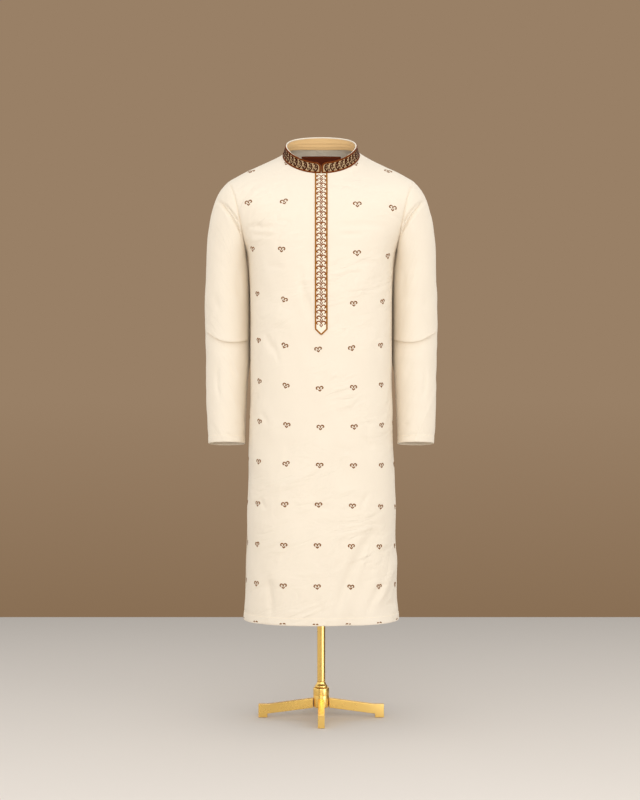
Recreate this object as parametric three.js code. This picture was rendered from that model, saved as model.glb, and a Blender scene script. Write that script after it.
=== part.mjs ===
// A panjabi, the long straight shirt of Bengal, standing open and hollow on a four-legged display stand.
// The cloth pieces are thin walls over one worked-out form: front and back panels that meet at the
// shoulder and side seams and part at the side vents, two set-in sleeves, a stand collar of two bands,
// a pointed placket strip and its piping. A pole with a shoulder rest carries the shirt from inside.
//
// Units are millimetres. +Z is up, the front of the shirt faces -Y, and the origin is on the floor
// at the foot of the pole.

import * as THREE from 'three';

// ---------------------------------------------------------------- driving dimensions

const SEAM_GAP = 0.3; // between neighbouring pieces
const CLOTH = 2.0; // wall of the panels and sleeves
const BAND = 1.2; // wall of each collar band and of the placket strip
const TRIM = 0.8; // thickness of the piping

const HEM_Z = 225;
const CHEST_Z = 1046; // underarm level
const VENT_TOP_Z = 520; // where the side seams stop and the vents begin
const VENT_OPENING = 5; // how far each panel's edge stands back at the hem

const NECK_HALF = 86; // half the width of the neckline
const NECK_SIDE_Z = 1262; // height of the neckline at the shoulder seam
const SHOULDER_HALF = 207; // shoulder tip, where the sleeve is set in
const SECTION_POWER = 2.6; // the body's sections are superellipses of this power
const ROLL_POWER = 2.4; // how squarely the panels roll over the shoulder

const PLACKET_HALF = 14;
const PLACKET_SHOULDER_Z = 867; // where the pointed end begins
const PLACKET_TIP_Z = 854;
const SLIT_HALF = 1; // half the neck slit that the placket covers

// The body's form: half width, and depth of the front and back, at each height.
const BODY = [
  { z: 225, half: 173.0, front: 160, back: 160 },
  { z: 263, half: 171.0, front: 158, back: 158 },
  { z: 376, half: 167.5, front: 152, back: 153 },
  { z: 488, half: 165.0, front: 146, back: 148 },
  { z: 578, half: 162.0, front: 141, back: 142 },
  { z: 713, half: 159.0, front: 135, back: 133 },
  { z: 826, half: 158.8, front: 132, back: 127 },
  { z: 938, half: 159.5, front: 132, back: 128 },
  { z: 1000, half: 162.0, front: 133, back: 131 },
  { z: 1046, half: 168.0, front: 132, back: 134 },
  { z: 1073, half: 180.0, front: 130, back: 134 },
  { z: 1094, half: 192.0, front: 127, back: 133 },
  { z: 1127, half: 214.0, front: 120, back: 130 },
  { z: 1171, half: 262.0, front: 103, back: 122 },
  { z: 1204, half: 330.0, front: 82, back: 112 },
  { z: 1232, half: 400.0, front: 62, back: 98 },
  { z: 1262, half: 470.0, front: 42, back: 73 },
  { z: 1290, half: 520.0, front: 25, back: 45 },
];

// The sleeve below the cap: centre, half width, half depth and forward tilt of each ring.
// elbow is how much of the elbow fold's sagging line the ring follows, and tuck how far it is drawn in.
const SLEEVE = [
  { z: 1000, x: 211.2, y: 6, half: 47.8, deep: 62.0, tilt: 0.0, elbow: 0.0, tuck: 0.0 },
  { z: 945, x: 212.2, y: 9, half: 48.8, deep: 60.5, tilt: 0.0, elbow: 0.2, tuck: 0.0 },
  { z: 890, x: 212.4, y: 11, half: 49.0, deep: 59.5, tilt: 0.01, elbow: 0.8, tuck: -1.0 },
  { z: 866, x: 212.3, y: 11, half: 49.0, deep: 59.0, tilt: 0.03, elbow: 1.0, tuck: -1.5 },
  { z: 858, x: 212.2, y: 11, half: 49.0, deep: 58.5, tilt: 0.05, elbow: 1.0, tuck: 4.0 },
  { z: 836, x: 212.0, y: 10, half: 49.2, deep: 57.5, tilt: 0.07, elbow: 0.8, tuck: 1.5 },
  { z: 785, x: 211.7, y: 5, half: 48.0, deep: 55.0, tilt: 0.09, elbow: 0.3, tuck: 0.0 },
  { z: 730, x: 212.6, y: -2, half: 45.8, deep: 52.0, tilt: 0.11, elbow: 0.0, tuck: 0.0 },
  { z: 672, x: 212.4, y: -10, half: 43.4, deep: 49.0, tilt: 0.11, elbow: 0.0, tuck: 0.0 },
  { z: 616, x: 211.8, y: -17, half: 40.8, deep: 46.0, tilt: 0.11, elbow: 0.0, tuck: 0.0 },
];
const ELBOW_SAG = 22; // how much lower the elbow fold hangs inside than at the outer edge

// The largest soft folds of the panels, each a trough from one point to another of the front view.
const FOLDS = [
  { side: 'front', x0: 140, z0: 460, x1: 58, z1: 222, width: 22, depth: 5 },
  { side: 'front', x0: -118, z0: 400, x1: -126, z1: 222, width: 20, depth: 3 },
  { side: 'back', x0: -140, z0: 480, x1: -66, z1: 222, width: 24, depth: 5 },
  { side: 'back', x0: 84, z0: 600, x1: 104, z1: 222, width: 26, depth: 4 },
];

// The shoulder line: its slope, its growing fall and the small rise where it meets the neck.
const SHOULDER = { slope: 0.3, fall: 0.00128, rise: 3, reach: 8 };

// The collar stands on the neckline. Both rings are ellipses that dip to the front.
const NECKLINE = { half: NECK_HALF, deep: 73, shift: 3, side: NECK_SIDE_Z, dip: 40.4, bow: 12.7, bend: -4.1 };
const COLLAR = { half: 79.5, deep: 61, shift: 1, side: 1285.2, dip: 34.3, bow: 9.9, bend: 2.3 };
const COLLAR_CORNER = 12; // radius of the collar's front corners
const NECK_FADE = 70; // how far from the neck the panels take to settle on the form
const LIFT_FROM = 110; // the height above the chest from which they rise to the neck in full
const COLLAR_END = 0.9; // half the gap between the collar's front ends
const LIP = 1.6; // how far the inner band stands above the outer one

const LABEL = { half: 50, rows: [1, 2, 2.5] }; // rows of the back panel that it spans

// The armhole seam's lean in the front view, and how the sleeve's cap leaves it and hangs.
const ARMHOLE = { foot: 168, lean: 0.175, flare: 11.3 };
const CAP = { outward: 0.78, fall: 0.62, leave: 0.9, arrive: 0.75 };

// How far the seams' shared faces tip up out of the level.
const MITRE = { armhole: 0.9, armholeOut: 0.45, neck: 0.55 };

const COLLAR_PIPING = { width: 2.6, inset: 2.4 };
const PLACKET_PIPING = { width: 2.4, inset: 1.7, start: 3, tip: 2.2 };
const PLACKET = { start: 1.4, blunt: 1.5 }; // gap below the collar, half width of the tip

// Columns and rows of the walls.
const GRID = { neck: 6, shoulder: 5, upper: 10, cap: 5, collar: 26 };

// The stand.
const POLE_RADIUS = 9;
const HUB = { radius: 17.8, bottom: 21.8, top: 66.8, groove: 1.2, line: 49.7, edge: 1 };
const FERRULE = { bottom: 13.5, top: 9.6, height: 12, lip: 3 };
const LEG = { reach: 141, width: 15, depth: 21, foot: 20, drop: 8.3, bend: 22, rise: 13.5 };
const REST = { dip: 1222, reach: 186, half: 9, thick: 16, meets: 104, ease: 0.8, stations: 26, around: 14 };

// ---------------------------------------------------------------- small helpers

const lerp = THREE.MathUtils.lerp;
const vec = (x, y, z) => new THREE.Vector3(x, y, z);
const range = (n) => Array.from({ length: n }, (_, i) => i);

// One column of a table read at height z, with smooth slopes between its rows.
function read(table, column, z) {
  const last = table.length - 1;
  if (z <= table[0].z) return table[0][column];
  if (z >= table[last].z) return table[last][column];
  const i = table.findIndex((row) => row.z > z) - 1;
  const chord = (k) => (table[k + 1][column] - table[k][column]) / (table[k + 1].z - table[k].z);
  const slope = (k) => {
    if (k === 0) return chord(0);
    if (k === last) return chord(last - 1);
    return (chord(k - 1) + chord(k)) / 2;
  };
  const span = table[i + 1].z - table[i].z;
  const t = (z - table[i].z) / span;
  const h = [(1 + 2 * t) * (1 - t) ** 2, t * (1 - t) ** 2, t * t * (3 - 2 * t), t * t * (t - 1)];
  return h[0] * table[i][column] + h[1] * span * slope(i)
    + h[2] * table[i + 1][column] + h[3] * span * slope(i + 1);
}

// A cubic from a to b that leaves along ta and arrives along tb.
function hermite(a, ta, b, tb, t) {
  return vec(0, 0, 0)
    .addScaledVector(a, (1 + 2 * t) * (1 - t) ** 2)
    .addScaledVector(ta, t * (1 - t) ** 2)
    .addScaledVector(b, t * t * (3 - 2 * t))
    .addScaledVector(tb, t * t * (t - 1));
}

// ---------------------------------------------------------------- walls

// Normals of a grid of points, from its rows and columns; fixed holds those that a seam decides.
function normalsOf(grid, { closed = false, fixed = () => null } = {}) {
  const rows = grid.length;
  const cols = grid[0].length;
  return grid.map((row, r) => row.map((_, c) => {
    const given = fixed(r, c);
    if (given) return given.clone().normalize();
    const left = closed ? (c + cols - 1) % cols : Math.max(c - 1, 0);
    const right = closed ? (c + 1) % cols : Math.min(c + 1, cols - 1);
    const along = row[right].clone().sub(row[left]);
    const down = grid[Math.min(r + 1, rows - 1)][c].clone().sub(grid[Math.max(r - 1, 0)][c]);
    return down.cross(along).normalize();
  }));
}

// A closed wall: the grid's points moved along their normals to outer and to inner, and its rims.
// Columns run to the right as seen from outside, rows run down, and skip(r, c) leaves a cell out.
function wall(grid, normals, outer, inner, { closed = false, skip = () => false } = {}) {
  const rows = grid.length;
  const cols = grid[0].length;
  const position = [];
  for (const offset of [outer, inner]) {
    grid.forEach((row, r) => row.forEach((p, c) => {
      const q = p.clone().addScaledVector(normals[r][c], offset);
      position.push(q.x, q.y, q.z);
    }));
  }
  const cellCols = closed ? cols : cols - 1;
  const at = (layer, r, c) => layer * rows * cols + r * cols + (c % cols);
  const has = (r, c) => {
    const k = closed ? (c + cols) % cols : c;
    return r >= 0 && r < rows - 1 && k >= 0 && k < cellCols && !skip(r, k);
  };
  const index = [];
  const quad = (a, b, c, d) => index.push(a, b, c, a, c, d);
  for (const r of range(rows - 1)) {
    for (const c of range(cellCols)) {
      if (!has(r, c)) continue;
      quad(at(0, r, c), at(0, r + 1, c), at(0, r + 1, c + 1), at(0, r, c + 1));
      quad(at(1, r, c), at(1, r, c + 1), at(1, r + 1, c + 1), at(1, r + 1, c));
      if (!has(r - 1, c)) quad(at(0, r, c + 1), at(1, r, c + 1), at(1, r, c), at(0, r, c));
      if (!has(r + 1, c)) {
        quad(at(0, r + 1, c), at(1, r + 1, c), at(1, r + 1, c + 1), at(0, r + 1, c + 1));
      }
      if (!has(r, c - 1)) quad(at(0, r, c), at(1, r, c), at(1, r + 1, c), at(0, r + 1, c));
      if (!has(r, c + 1)) {
        quad(at(0, r + 1, c + 1), at(1, r + 1, c + 1), at(1, r, c + 1), at(0, r, c + 1));
      }
    }
  }
  const geometry = new THREE.BufferGeometry();
  geometry.setAttribute('position', new THREE.Float32BufferAttribute(position, 3));
  geometry.setIndex(index);
  geometry.computeVertexNormals();
  return geometry;
}

// A strip swept along points: across is the way its width lies and out its thickness.
function strip(path, { width, low, high, closed = false }) {
  const grid = path.map(({ at, across }) => [
    at.clone().addScaledVector(across, -width / 2),
    at.clone().addScaledVector(across, width / 2),
  ]);
  const normals = path.map(({ out }) => [out, out]);
  if (!closed) return wall(grid, normals, high, low);
  const turned = [1, 0].map((k) => grid.map((pair) => pair[k]));
  const turnedNormals = [1, 0].map((k) => normals.map((pair) => pair[k]));
  return wall(turned, turnedNormals, high, low, { closed: true });
}

// Moves the grid's top row, and its side columns too where asked, back from their seams.
function easeSeams(grid, { sides = false } = {}) {
  const last = grid[0].length - 1;
  const eased = grid.map((row) => row.map((p) => p.clone()));
  const pull = (r, c, towards) => {
    eased[r][c].addScaledVector(towards.clone().sub(grid[r][c]).normalize(), SEAM_GAP / 2);
  };
  for (const c of range(last + 1)) pull(0, c, grid[1][c]);
  if (!sides) return eased;
  for (const r of range(grid.length)) {
    pull(r, 0, grid[r][1]);
    pull(r, last, grid[r][last - 1]);
  }
  return eased;
}

// ---------------------------------------------------------------- the body's form

// Height of the shoulder ridge over x.
function ridge(x) {
  const d = Math.abs(x) - NECK_HALF;
  const { slope, fall, rise, reach } = SHOULDER;
  return NECK_SIDE_Z - slope * d - fall * Math.max(d, 0) ** 2 - rise * (1 - Math.exp(-Math.max(d, 0) / reach));
}

// How much of its depth the form keeps at (x, z) as it rolls over the shoulder: 1 at the chest, 0 on the ridge.
function roll(x, z) {
  const t = THREE.MathUtils.clamp((z - CHEST_Z) / (ridge(x) - CHEST_Z), 0, 1);
  return (1 - t ** ROLL_POWER) ** (1 / ROLL_POWER);
}

// Depth of the form in front of, or behind, the shoulder ridge.
function depth(side, x, z) {
  const t = Math.min(Math.abs(x) / read(BODY, 'half', z), 1);
  const across = (1 - t ** SECTION_POWER) ** (1 / SECTION_POWER);
  return (read(BODY, side, z) / roll(0, z)) * across * roll(x, z);
}

// How far the folds press the panel in at (x, z).
function foldDepth(side, x, z) {
  return FOLDS.filter((f) => f.side === side).reduce((sum, f) => {
    const length = Math.hypot(f.x1 - f.x0, f.z1 - f.z0);
    const dir = [(f.x1 - f.x0) / length, (f.z1 - f.z0) / length];
    const along = (x - f.x0) * dir[0] + (z - f.z0) * dir[1];
    const off = (x - f.x0) * dir[1] - (z - f.z0) * dir[0];
    const ends = THREE.MathUtils.smoothstep(along, 0, length * 0.6);
    return sum + f.depth * ends * Math.exp(-((off / f.width) ** 2));
  }, 0);
}

// x of the armhole seam at height z, on the +X side.
function armholeX(z) {
  const h = z - CHEST_Z;
  const top = ridge(SHOULDER_HALF) - CHEST_Z;
  return ARMHOLE.foot + ARMHOLE.lean * h + ARMHOLE.flare * (h / top) ** 4;
}

// A ring that dips to the front, such as the neckline or the collar's top, at angle a from the front.
function neckRing(ring, a) {
  const s = Math.cos(a);
  return vec(ring.half * Math.sin(a), -ring.deep * s - ring.shift * s * s,
    ring.side - ring.dip * s - ring.bow * s * s - ring.bend * s ** 3);
}

// The neckline with the straight runs that the panels' columns give it, so that the collar fits it.
function necklineAt(a) {
  const step = Math.PI / 2 / GRID.neck;
  const k = Math.floor(a / step);
  return neckRing(NECKLINE, k * step).lerp(neckRing(NECKLINE, (k + 1) * step), a / step - k);
}

// The height at which the form has the neckline's depth, found by halving.
function formHeight(side, x, wanted) {
  let low = CHEST_Z;
  let high = ridge(x);
  for (const _ of range(40)) {
    const middle = (low + high) / 2;
    if (depth(side, x, middle) > wanted) low = middle;
    else high = middle;
  }
  return (low + high) / 2;
}

// How far the neckline's own rise and dip lift the form at (x, y), fading away from the neck.
function neckLift(side, x, y) {
  const sign = side === 'front' ? 1 : -1;
  const across = Math.abs(x) / NECKLINE.half;
  const along = Math.abs(y) / NECKLINE.deep;
  const ring = neckRing(NECKLINE, Math.atan2(across, sign * along));
  const beyond = Math.max(Math.hypot(across, along) - 1, 0) * NECKLINE.half;
  return (ring.z - formHeight(side, ring.x, Math.abs(ring.y))) * Math.exp(-((beyond / NECK_FADE) ** 2));
}

// The heights of the panels' rows below the chest. The placket's end and the vent's top are rows.
const LOWER_ROWS = [1010, 960, 915, PLACKET_SHOULDER_Z, PLACKET_TIP_Z, 800, 730, 660, 590,
  VENT_TOP_Z, 450, 375, 300, HEM_Z];

// One half of a panel's grid, as rows of columns from the centre line to the side.
function halfPanel(side) {
  const sign = side === 'front' ? -1 : 1;
  const columns = GRID.neck + GRID.shoulder;
  const top = range(columns + 1).map((i) => {
    if (i <= GRID.neck) {
      const a = (i / GRID.neck) * (Math.PI / 2);
      const p = neckRing(NECKLINE, side === 'front' ? a : Math.PI - a);
      return { x: p.x, z: i === GRID.neck ? NECK_SIDE_Z : formHeight(side, p.x, Math.abs(p.y)) };
    }
    const x = lerp(NECK_HALF, SHOULDER_HALF, (i - GRID.neck) / GRID.shoulder);
    return { x, z: ridge(x) };
  });
  const level = (i, z) => {
    const angle = (i / columns) * (Math.PI / 2);
    return read(BODY, 'half', z) * Math.sin(angle) ** (2 / SECTION_POWER);
  };
  const place = (i, x, z) => {
    const out = i === columns && z <= CHEST_Z ? 0 : depth(side, x, z);
    const above = THREE.MathUtils.smoothstep(z, CHEST_Z, CHEST_Z + LIFT_FROM);
    return vec(x, sign * out, z + (above ? above * neckLift(side, x, out) : 0));
  };
  const span = armholeX(ridge(SHOULDER_HALF)) - armholeX(CHEST_Z);
  const rows = range(GRID.upper + 1).map((j) => {
    const share = (1 + Math.cos((Math.PI * j) / GRID.upper)) / 2;
    const edge = armholeX(lerp(CHEST_Z, ridge(SHOULDER_HALF), share));
    const mix = (edge - armholeX(CHEST_Z)) / span;
    return top.map((t, i) => place(i, lerp(level(i, CHEST_Z), t.x, mix), lerp(CHEST_Z, t.z, share)));
  });
  for (const z of LOWER_ROWS) rows.push(range(columns + 1).map((i) => place(i, level(i, z), z)));
  return rows;
}

// The whole panel: two halves, with a slit column and a placket column on each side of the centre line.
function panelGrid(side) {
  const sign = side === 'front' ? -1 : 1;
  const pressIn = ({ x, y, z }) => vec(x, y - sign * Math.min(foldDepth(side, x, z), Math.abs(y)), z);
  return halfPanel(side).map((row) => {
    const onLine = (x) => {
      const i = Math.max(row.findIndex((p) => p.x > x) - 1, 0);
      return row[i].clone().lerp(row[i + 1], (x - row[i].x) / (row[i + 1].x - row[i].x));
    };
    const right = [onLine(SLIT_HALF), onLine(PLACKET_HALF), ...row.slice(1)];
    const left = [...right].reverse().map((p) => vec(-p.x, p.y, p.z));
    return [...left, ...right].map(pressIn);
  });
}

const armholeNormal = (hand, turn) => vec(
  hand * MITRE.armholeOut * (0.5 + 0.5 * Math.cos(turn)), -Math.sin(turn), MITRE.armhole * Math.cos(turn),
).normalize();
const ridgeNormal = (x) => vec((ridge(x - 1) - ridge(x + 1)) / 2, 0, 1).normalize();
const neckNormal = (a) => vec(Math.sin(a), -Math.cos(a), MITRE.neck).normalize();

// The panel's seams decide the normals of its edges, so that neighbouring walls meet in a mitre.
function seamNormals(side, grid) {
  const cols = grid[0].length;
  const facing = side === 'front' ? 1 : -1;
  return (r, c) => {
    const p = grid[r][c];
    const atSide = c === 0 || c === cols - 1;
    if (atSide && r <= GRID.upper) {
      return armholeNormal(Math.sign(p.x), facing * Math.PI * (r / GRID.upper));
    }
    if (atSide) return vec(Math.sign(p.x), 0, 0);
    if (r > 0) return null;
    if (Math.abs(p.x) > NECK_HALF + 1) return ridgeNormal(p.x);
    const a = Math.asin(THREE.MathUtils.clamp(p.x / NECK_HALF, -1, 1));
    return neckNormal(side === 'front' ? a : Math.PI - a);
  };
}

// Each panel's free edges draw back from each other below the vent's top.
function openVents(grid) {
  for (const row of grid) {
    const z = row[0].z;
    const open = VENT_OPENING * THREE.MathUtils.clamp((VENT_TOP_Z - z) / (VENT_TOP_Z - HEM_Z), 0, 1);
    for (const [edge, next] of [[0, 1], [row.length - 1, row.length - 2]]) {
      row[edge].addScaledVector(row[next].clone().sub(row[edge]).normalize(), open);
    }
  }
  return grid;
}

function buildPanel(side) {
  const plain = panelGrid(side);
  const grid = openVents(easeSeams(plain, { sides: true }));
  // Columns run to the right as seen from outside, which for the back is towards -X.
  const seen = side === 'front' ? grid : grid.map((row) => [...row].reverse());
  const source = side === 'front' ? plain : plain.map((row) => [...row].reverse());
  const normals = normalsOf(seen, { fixed: seamNormals(side, source) });
  const middle = seen[0].length / 2 - 1;
  const lastSlitRow = seen.findIndex((row) => row[middle].z < PLACKET_SHOULDER_Z + 1);
  const skip = side === 'front' ? (r, c) => c === middle && r < lastSlitRow : () => false;
  return { grid: seen, normals, geometry: wall(seen, normals, 0, -CLOTH, { skip }), plain };
}

// ---------------------------------------------------------------- sleeves

// How far the elbow fold's line hangs below its outer end at angle turn round the sleeve.
const elbowSag = (turn) => ELBOW_SAG * (0.5 - 0.5 * Math.cos(Math.min(turn, 2 * Math.PI - turn)));

// The points of the armhole seam round the sleeve: down the front, then up the back.
function armholeRing(front, back, hand) {
  const column = (grid) => range(GRID.upper + 1).map((r) => grid[r][hand > 0 ? grid[r].length - 1 : 0]);
  const down = column(front);
  const up = column(back).reverse();
  return [...down, ...up.slice(1, -1)];
}

function sleeveRing(row, hand, count) {
  return range(count).map((j) => {
    const turn = (2 * Math.PI * j) / count;
    const frontness = Math.max(0, Math.sin(turn));
    const tuck = row.tuck * frontness ** 0.5;
    const y = -(row.deep - tuck) * Math.sin(turn);
    const x = row.x + (row.half - 0.5 * tuck) * Math.cos(turn);
    const sag = row.elbow * elbowSag(turn) * (turn <= Math.PI ? 1 : 0.4);
    return vec(hand * x, row.y + y, row.z - y * row.tilt - sag);
  });
}

function buildSleeve(front, back, hand) {
  const seam = armholeRing(front, back, hand);
  const count = seam.length;
  const first = sleeveRing(SLEEVE[0], hand, count);
  const cap = range(GRID.cap).map((m) => seam.map((p, j) => {
    const turn = (2 * Math.PI * j) / count;
    const outward = 0.5 + 0.5 * Math.cos(turn);
    const chord = p.distanceTo(first[j]);
    const leave = vec(hand * CAP.outward * outward, 0, -lerp(1, CAP.fall, outward));
    const arrive = vec(0, 0, -CAP.arrive * chord);
    return hermite(p, leave.multiplyScalar(CAP.leave * chord), first[j], arrive, m / GRID.cap);
  }));
  const tube = SLEEVE.map((row) => sleeveRing(row, hand, count));
  const eased = easeSeams([...cap, ...tube]);
  // Seen from outside, columns that run forwards round the outer side go to the left on the +X side.
  const seen = hand > 0 ? eased.map((ring) => [...ring].reverse()) : eased;
  const fixed = (r, c) => {
    if (r > 0) return null;
    const j = hand > 0 ? count - 1 - c : c;
    return armholeNormal(hand, (2 * Math.PI * j) / count);
  };
  const normals = normalsOf(seen, { closed: true, fixed });
  return wall(seen, normals, 0, -CLOTH, { closed: true });
}

// ---------------------------------------------------------------- collar

// The angles of the collar's columns, close together at its rounded front ends.
function collarAngles() {
  const first = Math.asin(COLLAR_END / NECK_HALF);
  const near = [0, 1.2, 3.6, 7.5, COLLAR_CORNER].map((e) => first + e / NECK_HALF);
  const start = near[near.length - 1];
  const middle = range(GRID.collar - 1).map((i) => lerp(start, 2 * Math.PI - start, (i + 1) / GRID.collar));
  return [...near, ...middle, ...near.map((a) => 2 * Math.PI - a).reverse()];
}

// A collar band: rows from the top edge down to the neckline, columns from one front end to the other.
function collarGrid({ lip }) {
  const angles = collarAngles();
  const lines = angles.map((a) => {
    const foot = necklineAt(a);
    const head = neckRing(COLLAR, a);
    const tall = foot.distanceTo(head);
    const up = head.clone().sub(foot).normalize();
    const end = NECK_HALF * Math.min(a, 2 * Math.PI - a) - COLLAR_END;
    const r = COLLAR_CORNER;
    const cut = end < r ? r - Math.sqrt(Math.max(r * r - (r - end) ** 2, 0)) : 0;
    return { foot: foot.addScaledVector(up, SEAM_GAP), up, tall: tall - SEAM_GAP - cut + lip };
  });
  const rows = [1, 0.5, 0].map((h) => lines.map((l) => l.foot.clone().addScaledVector(l.up, h * l.tall)));
  return { rows, lines, angles };
}

function collarNormals(grid, angles) {
  return normalsOf(grid, { fixed: (r, c) => (r === grid.length - 1 ? neckNormal(angles[c]) : null) });
}

function buildCollarBand(layer) {
  const inner = layer === 'inner';
  const { rows, angles } = collarGrid({ lip: inner ? LIP : 0 });
  // Angles grow towards +X, which is to the right as seen from the front.
  const normals = collarNormals(rows, angles);
  const outer = inner ? -(BAND + SEAM_GAP) : 0;
  return wall(rows, normals, outer, outer - BAND);
}

// The collar's piping runs round the whole edge of the outer band, on its face.
function buildCollarPiping() {
  const { width, inset } = COLLAR_PIPING;
  const { rows, lines, angles } = collarGrid({ lip: 0 });
  const faces = collarNormals(rows, angles);
  const point = (c, h) => lines[c].foot.clone().addScaledVector(lines[c].up, h);
  const last = lines.length - 1;
  const path = [
    ...range(last - 1).map((k) => ({ c: k + 1, h: inset })),
    ...range(last - 1).map((k) => ({ c: last - 1 - k, h: lines[last - 1 - k].tall - inset })),
  ].map(({ c, h }) => ({ at: point(c, h), out: faces[1][c] }));
  const count = path.length;
  path.forEach((step, i) => {
    const ahead = path[(i + 1) % count].at;
    const behind = path[(i + count - 1) % count].at;
    step.across = step.out.clone().cross(ahead.clone().sub(behind)).normalize();
  });
  return strip(path, { width, low: SEAM_GAP, high: SEAM_GAP + TRIM, closed: true });
}

// ---------------------------------------------------------------- placket and label

// The front panel's columns under the placket, from its top row to the placket's tip.
function placketRows(front) {
  const middle = front.grid[0].length / 2;
  const columns = [middle - 2, middle - 1, middle, middle + 1];
  const rows = front.grid.findIndex((row) => row[middle].z < PLACKET_TIP_Z + 1) + 1;
  return range(rows).map((r) => columns.map((c) => ({ at: front.grid[r][c], out: front.normals[r][c] })));
}

// The point x across a row of four placket columns, and its normal.
function across(row, x) {
  const [a, b] = x < 0 ? [row[1], row[0]] : [row[2], row[3]];
  const t = (Math.abs(x) - SLIT_HALF) / (PLACKET_HALF - SLIT_HALF);
  return { at: a.at.clone().lerp(b.at, t), out: a.out.clone().lerp(b.out, t).normalize() };
}

function buildPlacket(front) {
  const rows = placketRows(front);
  const cut = rows.map((row, r) => (r < rows.length - 1 ? row
    : [across(row, -PLACKET.blunt), row[1], row[2], across(row, PLACKET.blunt)]));
  const grid = cut.map((row) => row.map((p) => p.at.clone()));
  grid[0].forEach((p, c) => p.addScaledVector(grid[1][c].clone().sub(p).normalize(), PLACKET.start));
  const normals = cut.map((row) => row.map((p) => p.out));
  return wall(grid, normals, SEAM_GAP + BAND, SEAM_GAP);
}

function buildPlacketPiping(front) {
  const rows = placketRows(front);
  const edge = PLACKET_HALF - PLACKET_PIPING.inset;
  const foot = rows[rows.length - 1];
  const sides = rows.slice(0, -1);
  const start = sides[0].map((p, c) => {
    const step = sides[1][c].at.clone().sub(p.at).normalize();
    return { at: p.at.clone().addScaledVector(step, PLACKET_PIPING.start), out: p.out };
  });
  const used = [start, ...sides.slice(1)];
  const tip = across(foot, SLIT_HALF);
  tip.at.x = 0;
  tip.at.z += PLACKET_PIPING.tip;
  const path = [
    ...used.map((row) => across(row, -edge)),
    tip,
    ...[...used].reverse().map((row) => across(row, edge)),
  ];
  path.forEach((step, i) => {
    const ahead = path[Math.min(i + 1, path.length - 1)].at;
    const behind = path[Math.max(i - 1, 0)].at;
    step.across = step.out.clone().cross(ahead.clone().sub(behind)).normalize();
  });
  const low = 2 * SEAM_GAP + BAND;
  return strip(path, { width: PLACKET_PIPING.width, low, high: low + TRIM });
}

// The label lies inside the back panel, just below the collar seam, on the panel's own rows.
function buildLabel(back) {
  const columns = range(back.grid[0].length).filter((c) => Math.abs(back.grid[0][c].x) < LABEL.half);
  const sample = (grid) => LABEL.rows.map((row) => columns.map((c) => {
    const r = Math.floor(row);
    return grid[r][c].clone().lerp(grid[r + 1][c], row - r);
  }));
  const face = CLOTH + SEAM_GAP;
  return wall(sample(back.grid), sample(back.normals), -face, -face - TRIM);
}

// ---------------------------------------------------------------- the stand

function lathe(profile, segments = 40) {
  const geometry = new THREE.LatheGeometry(profile.map(([r, z]) => new THREE.Vector2(r, z)), segments);
  geometry.rotateX(Math.PI / 2);
  return geometry;
}

function buildPole() {
  const bottom = HUB.top + FERRULE.height + 2 * SEAM_GAP;
  const top = REST.dip - REST.thick - SEAM_GAP;
  return lathe([[0, bottom], [POLE_RADIUS, bottom], [POLE_RADIUS, top], [0, top]], 32);
}

function buildFerrule() {
  const z = HUB.top + SEAM_GAP;
  const { bottom, top, height, lip } = FERRULE;
  return lathe([[0, z], [bottom, z], [bottom, z + lip],
    [top, z + height - lip], [top, z + height], [0, z + height]]);
}

function buildHub() {
  const { radius, bottom, top, groove, line, edge } = HUB;
  return lathe([[0, bottom], [radius - edge, bottom], [radius, bottom + edge],
    [radius, line - groove], [radius - groove, line], [radius, line + groove],
    [radius, top - edge], [radius - edge, top], [0, top]]);
}

// A leg slopes down from the hub, levels out and ends in a square foot on the floor.
function buildLeg() {
  const { reach, width, depth: deep, foot, drop, bend, rise } = LEG;
  const start = HUB.radius + SEAM_GAP;
  const over = drop + deep;
  const outline = [[start, over + rise], [reach - bend, over], [reach, over], [reach, 0],
    [reach - foot, 0], [reach - foot, drop], [start, drop + rise]];
  const shape = new THREE.Shape(outline.map(([x, z]) => new THREE.Vector2(x, z)));
  const geometry = new THREE.ExtrudeGeometry(shape, { depth: width, bevelEnabled: false });
  geometry.translate(0, 0, -width / 2);
  geometry.rotateX(Math.PI / 2);
  return geometry;
}

// Height of the shoulder rest's crest: under the shoulder seam outside, dipping below the open neck.
function restCrest(x) {
  const under = (at) => ridge(at) - (CLOTH + SEAM_GAP + REST.ease) / ridgeNormal(at).z;
  const t = Math.abs(x) / REST.meets;
  return t >= 1 ? under(x) : lerp(REST.dip, under(REST.meets), THREE.MathUtils.smoothstep(t, 0, 1));
}

// The rest is a bar of oval section, which thins towards its ends.
function buildRest() {
  const { reach, half, thick, stations, around } = REST;
  const rings = range(stations + 1).map((i) => {
    const x = lerp(-reach, reach, i / stations);
    const full = Math.sqrt(1 - (Math.abs(x) / (reach + 3)) ** 8);
    const tall = thick * lerp(0.55, 1, full);
    const middle = restCrest(x) - tall / 2;
    return range(around).map((j) => {
      const a = (2 * Math.PI * j) / around;
      return vec(x, half * full * Math.cos(a), middle + (tall / 2) * Math.sin(a));
    });
  });
  const index = [];
  for (const i of range(stations)) {
    for (const j of range(around)) {
      const [a, b] = [i * around + j, i * around + ((j + 1) % around)];
      index.push(a, b, b + around, a, b + around, a + around);
    }
  }
  const end = stations * around;
  for (const j of range(around - 2)) index.push(0, j + 2, j + 1, end, end + j + 1, end + j + 2);
  const geometry = new THREE.BufferGeometry().setFromPoints(rings.flat());
  geometry.setIndex(index);
  geometry.computeVertexNormals();
  return geometry;
}

// ---------------------------------------------------------------- materials and assembly

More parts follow.
